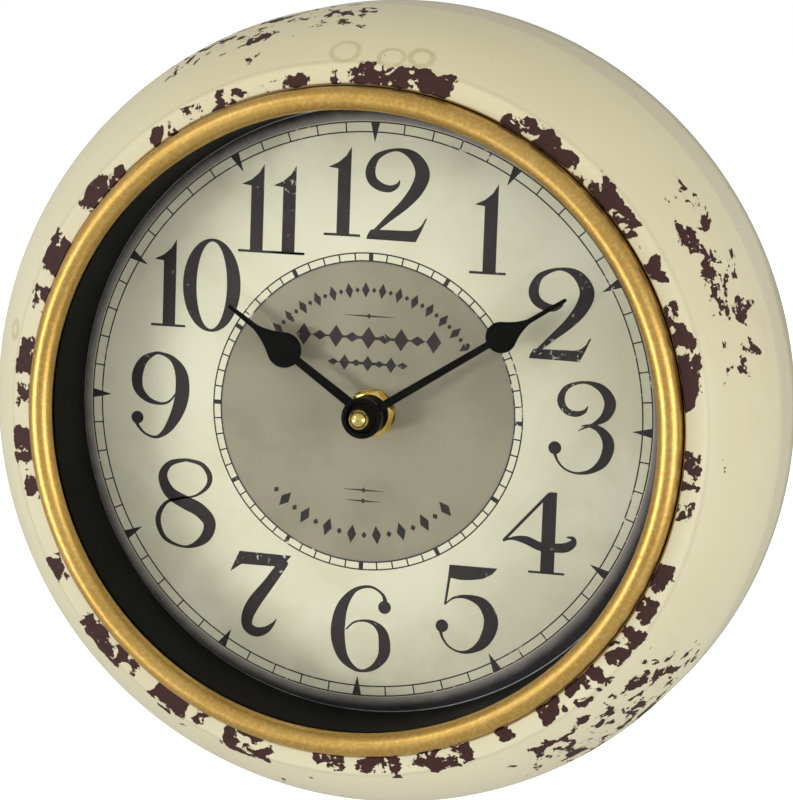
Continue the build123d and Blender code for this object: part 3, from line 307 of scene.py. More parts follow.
# ================================================================ Material helpers
class Shader:
    """A node material under construction."""

    def __init__(self, name):
        self.material = bpy.data.materials.new(name)
        self.material.use_nodes = True
        self.nodes = self.material.node_tree.nodes
        self.links = self.material.node_tree.links
        self.nodes.clear()
        self.place = self.add("ShaderNodeTexCoord").outputs["Object"]
        self.surface = self.add("ShaderNodeBsdfPrincipled")
        self.output = self.add("ShaderNodeOutputMaterial")
        self.links.new(self.surface.outputs["BSDF"], self.output.inputs["Surface"])

    def add(self, kind, **settings):
        node = self.nodes.new(kind)
        for key, value in settings.items():
            setattr(node, key, value)
        return node

    def plug(self, node, values):
        """Set or link a node's inputs, by name or by number."""
        for key, value in values.items():
            socket = node.inputs[key]
            if isinstance(value, bpy.types.NodeSocket):
                self.links.new(value, socket)
            elif hasattr(value, "__len__") and len(value) == 3 and socket.type == "RGBA":
                socket.default_value = (*value, 1.0)
            else:
                socket.default_value = value

    def math(self, operation, *values, clamp=False):
        node = self.add("ShaderNodeMath", operation=operation, use_clamp=clamp)
        self.plug(node, dict(enumerate(values)))
        return node.outputs[0]

    def stretched(self, scale):
        """The place, stretched by a scale along each axis."""
        node = self.add("ShaderNodeVectorMath", operation="MULTIPLY")
        self.plug(node, {0: self.place, 1: scale})
        return node.outputs[0]

    def noise(self, scale, detail=3.0, roughness=0.55, distortion=0.0, where=None):
        node = self.add("ShaderNodeTexNoise")
        self.plug(node, {"Vector": where or self.place, "Scale": scale, "Detail": detail,
                         "Roughness": roughness, "Distortion": distortion})
        return node.outputs["Fac"]

    def cells(self, scale, feature="DISTANCE_TO_EDGE", where=None):
        node = self.add("ShaderNodeTexVoronoi", feature=feature)
        self.plug(node, {"Vector": where or self.place, "Scale": scale})
        return node.outputs["Distance"]

    def step(self, value, low, high):
        """0 below low, 1 above high and smooth between."""
        node = self.add("ShaderNodeMapRange", interpolation_type="SMOOTHSTEP")
        self.plug(node, {"Value": value, "From Min": low, "From Max": high})
        return node.outputs["Result"]

    def span(self, value, low, high):
        """A 0 to 1 value spread between low and high."""
        node = self.add("ShaderNodeMapRange")
        self.plug(node, {"Value": value, "To Min": low, "To Max": high})
        return node.outputs["Result"]

    def mix(self, share, first, second):
        node = self.add("ShaderNodeMix", data_type="RGBA")
        self.plug(node, {0: share, 6: first, 7: second})
        return node.outputs[2]

    def tint(self, colour, mask, amount, other):
        """A colour with an amount of another one where the mask is 1."""
        return self.mix(self.math("MULTIPLY", mask, amount), colour, other)

    def flip(self, value):
        return self.math("SUBTRACT", 1.0, value)

    def swing(self, value, amount):
        """A 0 to 1 value spread evenly about zero."""
        return self.math("MULTIPLY", self.math("SUBTRACT", value, 0.5), amount)

    def line(self, value, middle, full, faded):
        """1 within one distance of the middle value and 0 beyond another."""
        return self.flip(self.step(self.math("ABSOLUTE", self.math("SUBTRACT", value, middle)), full, faded))

    def place_axes(self):
        """The place along X, Y and Z in metres."""
        split = self.add("ShaderNodeSeparateXYZ")
        self.plug(split, {0: self.place})
        return split.outputs["X"], split.outputs["Y"], split.outputs["Z"]

    def bump(self, height, distance_mm, strength=1.0, base=None):
        node = self.add("ShaderNodeBump")
        values = {"Height": height, "Distance": distance_mm * MM, "Strength": strength}
        if base:
            values["Normal"] = base
        self.plug(node, values)
        return node.outputs["Normal"]

    def radius(self, centre_x=0.0):
        """Distance in mm from the shaft, or from a line beside it."""
        x, _, z = self.place_axes()
        x = self.math("SUBTRACT", x, centre_x * MM)
        square = self.math("ADD", self.math("POWER", x, 2.0), self.math("POWER", z, 2.0))
        return self.math("MULTIPLY", self.math("SQRT", square), 1000.0)

    def distance(self, point):
        """Distance in metres from a point."""
        node = self.add("ShaderNodeVectorMath", operation="DISTANCE")
        self.plug(node, {0: self.place, 1: tuple(point)})
        return node.outputs["Value"]

    def attribute(self, name):
        return self.add("ShaderNodeAttribute", attribute_name=name).outputs["Fac"]

    def finish(self, **inputs):
        self.plug(self.surface, {key.replace("_", " "): value for key, value in inputs.items()})
        return self.material


# ================================================================ Materials
def cream_enamel():
    """Satin cream enamel, stained, worn at its edges and chipped through to a dark red-brown coat, with
    painted shade on its top and in dark lines along the crease and the flank edge.
    """
    s = Shader("cream_enamel")
    cloud = s.noise(9.0, 4.0, 0.6)
    fine = s.noise(60.0, 5.0, 0.65)
    stain = s.step(s.noise(14.0, 6.0, 0.7, 0.6), 0.58, 0.78)
    cream = s.mix(s.step(cloud, 0.35, 0.7), CREAM, CREAM_AGED)
    cream = s.tint(cream, stain, 0.35, (0.62, 0.50, 0.25))
    cream = s.tint(cream, s.step(fine, 0.6, 0.8), 0.25, (0.66, 0.58, 0.36))
    _, y, z = s.place_axes()
    height = s.math("MULTIPLY", y, -1000.0)
    # Painted shade: the top of the case is tinted darker and yellower.
    cream = s.tint(cream, s.step(z, 0.045, 0.112), 0.5, CREAM_TOP_SHADE)
    # Painted shade: a darker line along the crease between the front band and the shoulder, uneven along its
    # length.
    crease = s.math("MULTIPLY", s.line(s.radius(), CREASE_R + 0.4, 0.1, 0.9), s.step(height, 50.0, 54.0))
    cream = s.tint(cream, crease, s.span(fine, 0.1, 0.5), (0.56, 0.48, 0.30))
    # Painted shade: a darker line along the flank edge, uneven along its length.
    flank_edge_shade = s.line(height, FLANK_H + 0.6, 0.3, 1.5)
    cream = s.tint(cream, flank_edge_shade, s.span(fine, 0.05, 0.55), (0.50, 0.43, 0.28))
    cream = s.tint(cream, s.flip(s.step(height, FLANK_H - 2.0, FLANK_H + 0.5)), 0.28, (0.50, 0.45, 0.33))
    rim = s.flip(s.step(s.math("ADD", height, s.math("MULTIPLY", stain, -6.0)), 1.5, 9.0))
    cream = s.tint(cream, rim, 0.6, RIM_BROWN)
    ragged = s.noise(400.0, 3.5, 0.58, 0.5)
    coarse = s.noise(165.0, 3.0, 0.5, 0.7)
    wander = s.math("ADD", s.swing(ragged, 1.05), s.swing(coarse, 2.1))
    depth = s.math("ADD", s.math("SUBTRACT", s.attribute("chips"), CHIP_LEVEL), wander)
    chip = s.step(depth, -0.012, 0.012)
    halo = s.math("SUBTRACT", s.step(depth, -0.07, 0.0), chip, clamp=True)
    under = s.mix(s.noise(500.0, 3.0), UNDERCOAT_DARK, UNDERCOAT)
    worn = s.tint(cream, halo, 0.45, (0.44, 0.34, 0.22))
    peel = s.noise(900.0, 2.0)
    relief = s.bump(s.math("MULTIPLY", chip, -1.0), 0.12, 0.9, s.bump(peel, 0.012, 0.5))
    rough = s.math("ADD", s.span(fine, 0.30, 0.46), s.math("MULTIPLY", chip, 0.3))
    for clock, r, ring_r in STAIN_RINGS:
        away = s.distance(at(*polar(r, clock), CREASE_H - 2.0))
        uneven = s.math("ADD", ring_r * MM, s.math("MULTIPLY", fine, 0.0022))
        ring = s.line(away, uneven, 0.0002, 0.0011)
        worn = s.tint(worn, ring, s.span(coarse, 0.1, 0.75), (0.50, 0.38, 0.15))
    return s.finish(Base_Color=s.mix(chip, worn, under), Roughness=rough, Normal=relief,
                    Specular_IOR_Level=0.4)


def gold_metal():
    """Satin gold lacquer on spun metal, lightly rubbed and scuffed."""
    s = Shader("gold_metal")
    cloud = s.noise(30.0, 4.0, 0.6)
    scuff = s.step(s.noise(240.0, 5.0, 0.7, 0.4), 0.66, 0.74)
    gold = s.mix(cloud, GOLD_DEEP, GOLD)
    gold = s.tint(gold, scuff, 0.55, GOLD_SCUFF)
    grain = s.noise(950.0, 3.0, 0.6)
    gold = s.tint(gold, s.step(grain, 0.45, 0.65), 0.4, GOLD_SPARK)
    rough = s.math("ADD", s.span(cloud, 0.36, 0.44), s.math("MULTIPLY", scuff, 0.15))
    return s.finish(Base_Color=gold, Metallic=1.0, Roughness=rough, Normal=s.bump(grain, 0.045, 0.55))


def clear_glass():
    """Clear glass with a trace of dust, which lets light through to the dial."""
    s = Shader("clear_glass")
    dust = s.step(s.noise(160.0, 4.0, 0.6), 0.62, 0.9)
    s.finish(Base_Color=s.mix(dust, (0.985, 0.99, 0.985), (0.95, 0.96, 0.95)), Roughness=0.0,
             Transmission_Weight=1.0, IOR=1.08)
    clear = s.add("ShaderNodeBsdfTransparent")
    either = s.add("ShaderNodeMixShader")
    shadow = s.add("ShaderNodeLightPath").outputs["Is Shadow Ray"]
    s.links.new(shadow, either.inputs[0])
    s.links.new(s.surface.outputs["BSDF"], either.inputs[1])
    s.links.new(clear.outputs[0], either.inputs[2])
    s.links.new(either.outputs[0], s.output.inputs["Surface"])
    return s.material


def speckled(name, dark, light, rough, metallic=0.0, scale=400.0, relief=0.01, shine=0.5):
    """Moulded, cast or painted stuff: two near colours, a fine grain and uneven gloss."""
    s = Shader(name)
    grain = s.noise(scale, 4.0, 0.6)
    cloud = s.noise(scale / 9, 3.0, 0.55)
    colour = s.mix(s.math("MULTIPLY", s.math("ADD", grain, cloud), 0.5), dark, light)
    return s.finish(Base_Color=colour, Roughness=s.span(cloud, rough - 0.06, rough + 0.08), Metallic=metallic,
                    Normal=s.bump(grain, relief, 0.6), Specular_IOR_Level=shine)


def brushed(name, dark, light, rough, along=(4.0, 60.0, 900.0)):
    """Drawn or rolled metal with fine lines along X."""
    s = Shader(name)
    lines = s.noise(1.0, 5.0, 0.65, where=s.stretched(along))
    spots = s.noise(220.0, 4.0, 0.6)
    colour = s.mix(s.math("MULTIPLY", s.math("ADD", lines, spots), 0.5), dark, light)
    return s.finish(Base_Color=colour, Metallic=1.0, Roughness=s.span(lines, rough - 0.08, rough + 0.12),
                    Normal=s.bump(lines, 0.01, 0.5))


def zinc_steel():
    """Zinc plate with its pale spangle."""
    s = Shader("zinc_steel")
    spangle = s.cells(180.0, "F1")
    grain = s.noise(600.0, 3.0)
    colour = s.mix(spangle, (0.50, 0.51, 0.52), (0.72, 0.73, 0.73))
    return s.finish(Base_Color=colour, Metallic=1.0, Roughness=s.span(grain, 0.3, 0.5),
                    Normal=s.bump(grain, 0.01, 0.4))


def fibreboard():
    """Pressed hardboard: dark brown with short fibres and a slight sheen."""
    s = Shader("fibreboard")
    fibres = s.noise(1.0, 6.0, 0.7, 1.2, where=s.stretched((260.0, 260.0, 900.0)))
    crossed = s.noise(1.0, 6.0, 0.7, 1.2, where=s.stretched((900.0, 260.0, 260.0)))
    mixed = s.math("MULTIPLY", s.math("ADD", fibres, crossed), 0.5)
    cloud = s.noise(16.0, 3.0)
    colour = s.mix(s.step(mixed, 0.35, 0.68), (0.115, 0.065, 0.034), (0.30, 0.19, 0.105))
    colour = s.tint(colour, cloud, 0.3, (0.14, 0.085, 0.05))
    return s.finish(Base_Color=colour, Roughness=s.span(mixed, 0.55, 0.8), Normal=s.bump(mixed, 0.06, 0.6))


def dial_paper():
    """Aged paper with a printed grey disc and foxing, and outside the track a black border with a painted
    reflection of the dial: grey next to the track, fading to black.
    """
    s = Shader("dial_paper")
    r = s.radius(PRINT_X)
    cloud = s.noise(22.0, 5.0, 0.65, 0.4)
    pulp = s.noise(900.0, 4.0, 0.7)
    paper = s.mix(s.step(cloud, 0.35, 0.7), PAPER, PAPER_AGED)
    paper = s.tint(paper, s.step(s.noise(70.0, 5.0, 0.6), 0.6, 0.75), 0.3, (0.50, 0.46, 0.33))
    foxing = s.step(s.noise(420.0, 4.0, 0.6, 0.3), 0.735, 0.76)
    paper = s.tint(paper, foxing, 0.6, (0.24, 0.18, 0.11))
    edge_wear = s.step(r, 60.0, 84.0)
    dirty = s.math("MULTIPLY", edge_wear, s.step(cloud, 0.4, 0.65))
    paper = s.tint(paper, dirty, 0.3, (0.42, 0.39, 0.29))
    grey = s.mix(s.step(s.noise(34.0, 5.0, 0.6), 0.4, 0.65), DISC_GREY, DISC_GREY_AGED)
    rubbed = s.step(s.noise(260.0, 6.0, 0.7, 0.5), 0.66, 0.72)
    grey = s.tint(grey, rubbed, 0.35, (0.42, 0.40, 0.30))
    ink_edge = s.mix(s.step(r, DISC_R - 0.9, DISC_R - 0.1), grey, (0.20, 0.19, 0.17))
    paper = s.mix(s.step(r, DISC_R - 0.05, DISC_R + 0.05), ink_edge, paper)
    ragged = s.math("ADD", r, s.swing(s.noise(180.0, 5.0, 0.7), 1.6))
    # Painted reflection of the dial in the black wall: grey next to the track, fading to black further out.
    border_and_reflection = s.mix(s.step(ragged, TRACK_R - 0.2, TRACK_R + 3.8), BORDER_REFLECTION_GREY, BORDER_BLACK)
    border_and_reflection_mask = s.step(r, TRACK_R + 0.1, TRACK_R + 0.6)
    return s.finish(Base_Color=s.mix(border_and_reflection_mask, paper, border_and_reflection), Roughness=s.span(pulp, 0.6, 0.8),
                    Normal=s.bump(pulp, 0.003, 0.3), Specular_IOR_Level=0.25)


def printed_ink(name, wear):
    """Flat black print, rubbed away in small spots so that the paper shows."""
    s = Shader(name)
    patchy = s.step(s.noise(28.0, 3.0, 0.6), 0.45, 0.72)
    flake = s.math("ADD", s.noise(520.0, 6.0, 0.72, 0.5), s.math("MULTIPLY", patchy, 0.13))
    bare = s.step(flake, wear, wear + 0.05)
    ink = s.mix(s.noise(200.0, 4.0), (0.013, 0.010, 0.010), (0.032, 0.025, 0.023))
    return s.finish(Base_Color=s.mix(bare, ink, (0.50, 0.49, 0.41)), Roughness=s.span(flake, 0.5, 0.75),
                    Specular_IOR_Level=0.3)


def polished_brass():
    """Lacquered brass, with fine turning lines and faint tarnish."""
    s = Shader("polished_brass")
    tarnish = s.noise(300.0, 4.0, 0.6)
    brass = s.mix(s.step(tarnish, 0.4, 0.7), (0.80, 0.62, 0.20), (0.62, 0.44, 0.11))
    return s.finish(Base_Color=brass, Metallic=1.0, Roughness=s.span(tarnish, 0.10, 0.24),
                    Normal=s.bump(s.noise(1500.0, 3.0), 0.004, 0.4))


def copper_wire():
    """Enamelled copper wire, wound round the X axis."""
    s = Shader("copper_wire")
    wave = s.add("ShaderNodeTexWave", bands_direction="X")
    s.plug(wave, {"Vector": s.place, "Scale": 1600.0, "Distortion": 0.6, "Detail": 2.0})
    turns = wave.outputs["Fac"]
    colour = s.mix(turns, (0.30, 0.10, 0.035), (0.78, 0.36, 0.15))
    return s.finish(Base_Color=colour, Metallic=0.85, Roughness=s.span(turns, 0.25, 0.4),
                    Normal=s.bump(turns, 0.08))


def circuit_board():
    """Green solder mask over faint copper runs."""
    s = Shader("circuit_board")
    runs = s.step(s.cells(420.0), 0.04, 0.07)
    weave = s.noise(1500.0, 2.0)
    colour = s.mix(runs, (0.05, 0.20, 0.08), (0.018, 0.095, 0.035))
    return s.finish(Base_Color=colour, Roughness=s.span(weave, 0.25, 0.4), Normal=s.bump(runs, 0.03, 0.5))


def cell_label():
    """Plain shrink sleeve of the battery, dark blue with a band of steel grey at one end."""
    s = Shader("cell_label")
    x, _, _ = s.place_axes()
    band = s.step(x, 0.0118, 0.0122)
    grain = s.noise(500.0, 3.0)
    colour = s.mix(band, s.mix(grain, (0.02, 0.035, 0.085), (0.035, 0.055, 0.12)), (0.45, 0.45, 0.44))
    return s.finish(Base_Color=colour, Roughness=s.span(grain, 0.2, 0.32), Coat_Weight=0.4,
                    Normal=s.bump(grain, 0.01, 0.4))


def floor_white():
    """Plain pale studio floor."""
    s = Shader("floor_white")
    mottle = s.noise(3.0, 3.0)
    seen = s.add("ShaderNodeLightPath").outputs["Is Camera Ray"]
    return s.finish(Base_Color=s.mix(mottle, (0.76, 0.76, 0.75), (0.80, 0.80, 0.79)), Roughness=0.9,
                    Emission_Color=(1.0, 1.0, 1.0), Emission_Strength=seen, Specular_IOR_Level=0.0)


FINISHES = {
    "cream_enamel": cream_enamel(),
    "gold_metal": gold_metal(),
    "clear_glass": clear_glass(),
    "black_rubber": speckled("black_rubber", (0.012, 0.012, 0.012), (0.035, 0.034, 0.033), 0.75, relief=0.03),
    "black_enamel": speckled("black_enamel", (0.003, 0.003, 0.002), (0.007, 0.007, 0.005), 0.55, scale=260.0,
                             shine=0.04),
    "zinc_steel": zinc_steel(),
    "dial_paper": dial_paper(),
    "screw_steel": brushed("screw_steel", (0.42, 0.42, 0.41), (0.68, 0.68, 0.66), 0.32, (900.0, 60.0, 40.0)),
    "fibreboard": fibreboard(),
    "movement_plastic": speckled("movement_plastic", (0.012, 0.012, 0.013), (0.032, 0.032, 0.034), 0.5,
                                 relief=0.05),
    "white_plastic": speckled("white_plastic", (0.66, 0.65, 0.60), (0.80, 0.79, 0.75), 0.45),
    "polished_brass": polished_brass(),
    "black_gloss": speckled("black_gloss", (0.002, 0.002, 0.002), (0.005, 0.005, 0.004), 0.22, scale=600.0,
                            shine=0.08),
    "knob_plastic": speckled("knob_plastic", (0.60, 0.59, 0.55), (0.74, 0.73, 0.69), 0.35, relief=0.02),
    "magnet": speckled("magnet", (0.09, 0.09, 0.10), (0.20, 0.20, 0.21), 0.55, metallic=0.6, relief=0.03),
    "copper_wire": copper_wire(),
    "board": circuit_board(),
    "bright_steel": brushed("bright_steel", (0.60, 0.60, 0.59), (0.82, 0.82, 0.81), 0.2,
                            (60.0, 900.0, 900.0)),
    "epoxy": speckled("epoxy", (0.006, 0.006, 0.006), (0.018, 0.018, 0.018), 0.3, relief=0.02),
    "cell_label": cell_label(),
}
INK = printed_ink("printed_ink", NUMERAL_WEAR)
TRACK_INK = printed_ink("track_ink", TRACK_WEAR)


# ================================================================ Frame parts that keep their shape
def paint_frame():
    """Give every node of the frame its slot's finish."""
    slots = {part["node"]: part["material_slot"] for part in frame["record"]["subparts"]}
    for name, node in frame["nodes"].items():
        node.data.materials.clear()
        node.data.materials.append(FINISHES[slots[name]])


# ================================================================ Case
def case_outline():
    """Outer side of the case sheet as (r, h) points, from the groove to the inner edge of the rear flange."""
    band, crease, flank = (BAND_R, BAND_H), (CREASE_R, CREASE_H), (FLANK_R, FLANK_H)
    shoulder = arc(crease, flank, SHOULDER_SAG, SHOULDER_STEPS)
    points = [(GROOVE_R, CREASE_H), (GROOVE_R + GROOVE_LIP[0], CREASE_H + GROOVE_LIP[1])]
    points += round_corner((GROOVE_R, CREASE_H), band, crease, BAND_ROUND, 3)
    front = Vector(crease) - Vector(band)
    points += [tuple(Vector(band) + front * share) for share in FRONT_STOPS]
    points += round_corner(band, crease, shoulder[2], CREASE_ROUND, 5)
    points += shoulder[2:]
    run = Vector((CASE_R, RIM_ROLL)) - Vector(flank)
    points += [tuple(Vector(flank) + run * (k / FLANK_STEPS)) for k in range(1, FLANK_STEPS + 1)]
    points += [(CASE_R - RIM_ROLL * (1 - cos(a)), RIM_ROLL * (1 - sin(a))) for a in ROLL_STOPS]
    foot_in = CASE_R - RIM_ROLL - RIM_FOOT
    return points + [(foot_in, 0.0), (foot_in - FOOT_SLOPE, BACK_RECESS), (FLANGE_IN_R, BACK_RECESS)]


def inner_side(points):
    """The other side of the sheet, one thickness away from each point of the outline."""
    inside = []
    for i, (r, h) in enumerate(points):
        before, after = points[max(i - 1, 0)], points[min(i + 1, len(points) - 1)]
        along = Vector((after[0] - before[0], after[1] - before[1])).normalized()
        inside.append((r + along.y * SHEET_T, h - along.x * SHEET_T))
    return inside


def chip_density(clock, along):
    """How likely the enamel is gone at a clock angle and a distance along the profile."""
    density = EDGE_CHIPS * max(0.0, 1.0 - abs(along) / EDGE_CHIPS_W)
    for group, (blur_angle, blur_along) in ((BAND_CHIPS, BAND_BLUR), (SHOULDER_CHIPS, SHOULDER_BLUR)):
        for first, last, low, high, strength in group:
            outside = max(first - clock, clock - last, 0.0) / blur_angle
            beyond = max(low - along, along - high, 0.0) / blur_along
            density = max(density, strength * max(0.0, 1.0 - hypot(outside, beyond)))
    return density


def make_case():
    """The spun case, finely turned, with its chipped places marked on its points."""
    outline = case_outline()
    lengths = [0.0]
    for a, b in zip(outline, outline[1:]):
        lengths.append(lengths[-1] + hypot(b[0] - a[0], b[1] - a[1]))
    band_start = lengths[2]
    section = outline + inner_side(outline)[::-1]
    count = len(section)
    points, faces, chips = [], [], []
    for step in range(LATHE_STEPS):
        clock = 360 * step / LATHE_STEPS
        for k, (r, h) in enumerate(section):
            points.append(at(*polar(r, clock), h))
            on_outside = k < len(outline)
            chips.append(chip_density(clock, lengths[k] - band_start) if on_outside and k > 0 else 0.0)
        other = (step + 1) % LATHE_STEPS
        for k in range(count):
            j = (k + 1) % count
            faces.append((step * count + k, other * count + k, other * count + j, step * count + j))
    case = add_piece("case_enamelled", points, faces, FINISHES["cream_enamel"],
                     smooth=True)
    case.data.attributes.new("chips", "FLOAT", "POINT").data.foreach_set("value", chips)
    case.data.set_sharp_from_angle(angle=radians(SHARP_ANGLE))
    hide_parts("case_shell")


# ================================================================ Print on the dial
def ink_layer(number):
    """Low and high face of a layer of ink; layers differ so that no two faces coincide."""
    return PAPER_H - INK_SINK, PAPER_H + INK_T + INK_STEP * number


def add_print(name, solid, ink=INK):
    add_piece(name, solid.points, solid.faces, ink)


def radial_line(solid, r_in, r_out, clock, width_in, width_out, layer):
    """A straight mark along a radius of the print, which can taper."""
    a, b = polar(r_in, clock), polar(r_out, clock)
    side = polar(1.0, clock + 90)
    outline = [(PRINT_X + p[0] + side[0] * w / 2, p[1] + side[1] * w / 2)
               for p, w in ((a, width_in), (b, width_out), (b, -width_out), (a, -width_in))]
    solid.prism(outline, *ink_layer(layer))


def make_track(name, r_in, r_out, bold):
    """Two circles with a line for each minute, wider every five if bold."""
    solid = Solid()
    for r in (r_in, r_out):
        solid.ring(r - LINE_W / 2, r + LINE_W / 2, *ink_layer(0), centre=(PRINT_X, 0.0), steps=360)
    for minute in range(60):
        width = FIVE_MINUTE_W if bold and minute % 5 == 0 else LINE_W
        radial_line(solid, r_in, r_out, minute * 6, width, width, 1)
    add_print(name, solid, TRACK_INK)


def make_hour_points():
    """Twelve triangles that point inwards from the outer circle."""
    solid = Solid()
    for hour in range(12):
        radial_line(solid, *HOUR_POINT, hour * 30, *HOUR_POINT_W, 2)
    add_print("hour_points", solid)


# Numerals, drawn about their own centres. A stroke's knots are x, z and width.
TWO = ((1.6, 4.6, 0.2), (0.9, 3.0, 1.2), (-1.3, 1.9, 2.0), (-4.2, 2.4, 2.5), (-6.6, 4.2, 2.9),
       (-7.2, 7.2, 2.9), (-5.2, 11.1, 1.8), (0.3, 13.2, 0.9), (5.4, 11.6, 2.9), (8.2, 7.2, 4.3),
       (7.0, 2.6, 4.0), (3.4, -2.2, 3.0), (-1.5, -6.8, 1.9), (-6.9, -12.0, 0.9))
TWO_FOOT = ((-7.9, -12.9), (-7.5, -11.6), (-6.6, -10.1), (5.4, -9.9), (7.2, -9.3), (8.6, -8.0),
            (9.5, -6.2), (10.1, -6.1), (8.6, -9.6), (6.9, -13.1))
THREE = (
    ((1.3, 6.6, 0.2), (0.4, 4.9, 1.1), (-2.2, 4.0, 1.7), (-5.2, 5.0, 2.0), (-6.6, 8.0, 2.2),
     (-4.9, 11.6, 1.4), (0.0, 13.3, 0.8), (5.0, 11.9, 2.3), (7.7, 8.0, 3.4), (6.6, 4.0, 2.8),
     (3.6, 1.6, 1.2), (0.6, 0.2, 0.6), (-1.2, -0.8, 0.3)),
    ((-0.4, 0.6, 0.3), (1.6, 0.9, 0.8), (4.8, 0.1, 2.0), (7.3, -2.6, 3.2), (7.7, -5.8, 3.4),
     (6.2, -9.6, 2.8), (2.8, -12.3, 1.4), (-1.3, -13.1, 0.7), (-4.8, -12.0, 0.6), (-7.0, -9.6, 0.7),
     (-7.9, -7.0, 1.2)))
FOUR_BAR = ((-13.4, -2.6, 0.2), (-10.5, -1.5, 1.0), (-6.5, -1.7, 2.4), (-2.0, -3.3, 2.6),
            (2.5, -3.3, 2.7), (5.4, -2.9, 2.8), (7.3, -1.5, 2.2), (7.2, -0.1, 1.2), (5.4, 0.1, 0.4))
FIVE = (
    ((-5.0, 12.6, 0.8), (-5.4, 8.0, 0.8), (-6.3, 0.7, 0.7)),
    ((-6.3, 0.8, 0.4), (-3.6, 3.0, 0.7), (0.4, 3.5, 1.4), (4.9, 2.0, 3.2), (7.4, -1.8, 4.1),
     (7.4, -5.6, 4.2), (5.4, -9.8, 3.2), (2.0, -12.4, 1.5), (-1.4, -13.0, 0.7), (-4.8, -11.6, 0.6),
     (-6.9, -8.8, 0.8), (-7.4, -6.2, 1.4)))
SIX = ((7.8, 8.6, 1.4), (6.6, 10.9, 0.8), (3.0, 12.6, 0.8), (-1.6, 11.2, 1.4), (-5.0, 6.6, 3.2),
       (-6.3, 1.0, 4.2), (-6.2, -4.2, 4.2), (-4.6, -9.0, 3.1), (-1.6, -12.0, 1.6), (1.4, -12.9, 0.9),
       (5.0, -11.4, 1.9), (7.6, -8.0, 3.2), (8.0, -4.6, 3.6), (7.2, -0.8, 2.9), (4.8, 1.6, 1.6),
       (1.7, 2.3, 0.8), (-1.6, 1.5, 0.6), (-3.9, -0.8, 0.5))
SEVEN = ((9.2, 9.6, 2.0), (8.0, 8.2, 2.9), (4.0, 2.3, 3.3), (-0.3, -3.7, 4.0), (-2.3, -8.0, 3.7),
         (-2.2, -11.2, 3.2), (0.4, -12.7, 3.0), (3.4, -11.9, 2.2), (5.6, -9.9, 1.0), (6.7, -8.2, 0.2))
SEVEN_BAR = ((-5.3, 11.4), (10.8, 11.2), (7.8, 7.6), (-4.6, 7.5), (-8.1, 5.0), (-6.6, 8.6))
EIGHT = ((0.7, 14.0, 1.0), (-4.2, 12.5, 1.8), (-6.4, 8.6, 2.8), (-4.2, 3.9, 3.6), (0.6, 1.2, 4.1),
         (5.4, -0.9, 4.2), (8.6, -4.6, 3.9), (7.0, -9.4, 3.0), (1.4, -12.3, 0.8), (-5.2, -10.2, 1.3),
         (-7.6, -4.6, 1.7), (-5.4, 0.4, 1.1), (-1.0, 2.2, 0.7), (4.0, 3.4, 0.7), (7.6, 6.4, 1.3),
         (8.2, 9.8, 1.7), (5.6, 13.0, 1.3), (0.7, 14.0, 1.0))
NINE = ((5.6, 1.4, 0.5), (3.6, -1.0, 0.7), (0.9, -1.8, 0.9), (-3.0, -0.8, 1.8), (-6.0, 2.2, 3.0),
        (-6.5, 6.4, 3.4), (-4.8, 10.6, 2.6), (-1.6, 12.9, 1.2), (0.9, 13.2, 0.9), (4.6, 11.6, 1.9),
        (7.2, 7.6, 3.8), (7.7, 2.2, 4.4), (6.6, -3.2, 4.0), (4.0, -8.4, 2.8), (1.4, -11.2, 1.4),
        (-1.0, -12.0, 0.8), (-4.0, -10.9, 0.7), (-6.0, -8.8, 0.9), (-6.9, -7.0, 1.4))
BALLS = {3: (-7.8, -6.2, 1.9), 5: (-7.0, -5.7, 1.9), 6: (7.6, 6.8, 1.95), 9: (-6.2, -6.4, 1.9)}


def fill(solid, outline, origin, layer):
    """A flat shape whose outline is given about an origin."""
    solid.prism([(origin[0] + x, origin[1] + z) for x, z in outline], *ink_layer(layer))


def draw_one(solid, origin, right, rise, foot):
    """The figure 1: a stem whose right edge is given, a hollow flag and a thin foot."""
    top, bottom = 12.9 + rise, -12.5 + rise
    flag = [(right - 6.9, 6.75 + rise), (right - 3.9, 8.2 + rise), (right - 1.6, 10.2 + rise)]
    outline = [(right, top), *flag[::-1], (right - 3.9, 6.4 + rise), (right - 3.9, bottom), (right, bottom)]
    fill(solid, outline, origin, 0)
    top_z, low_z = bottom + 0.15, bottom - 0.6
    base = [(foot[0], top_z), (foot[1], top_z), (foot[1], low_z), (foot[0], low_z)]
    fill(solid, base, origin, 1)


def draw_two(solid, origin, shift=(0.0, 0.0)):
    place = (origin[0] + shift[0], origin[1] + shift[1])
    solid.stroke(TWO, *ink_layer(0), origin=place)
    fill(solid, TWO_FOOT, place, 1)


def draw_ball(solid, origin, hour):
    x, z, r = BALLS[hour]
    solid.disc(origin[0] + x, origin[1] + z, r, *ink_layer(3))


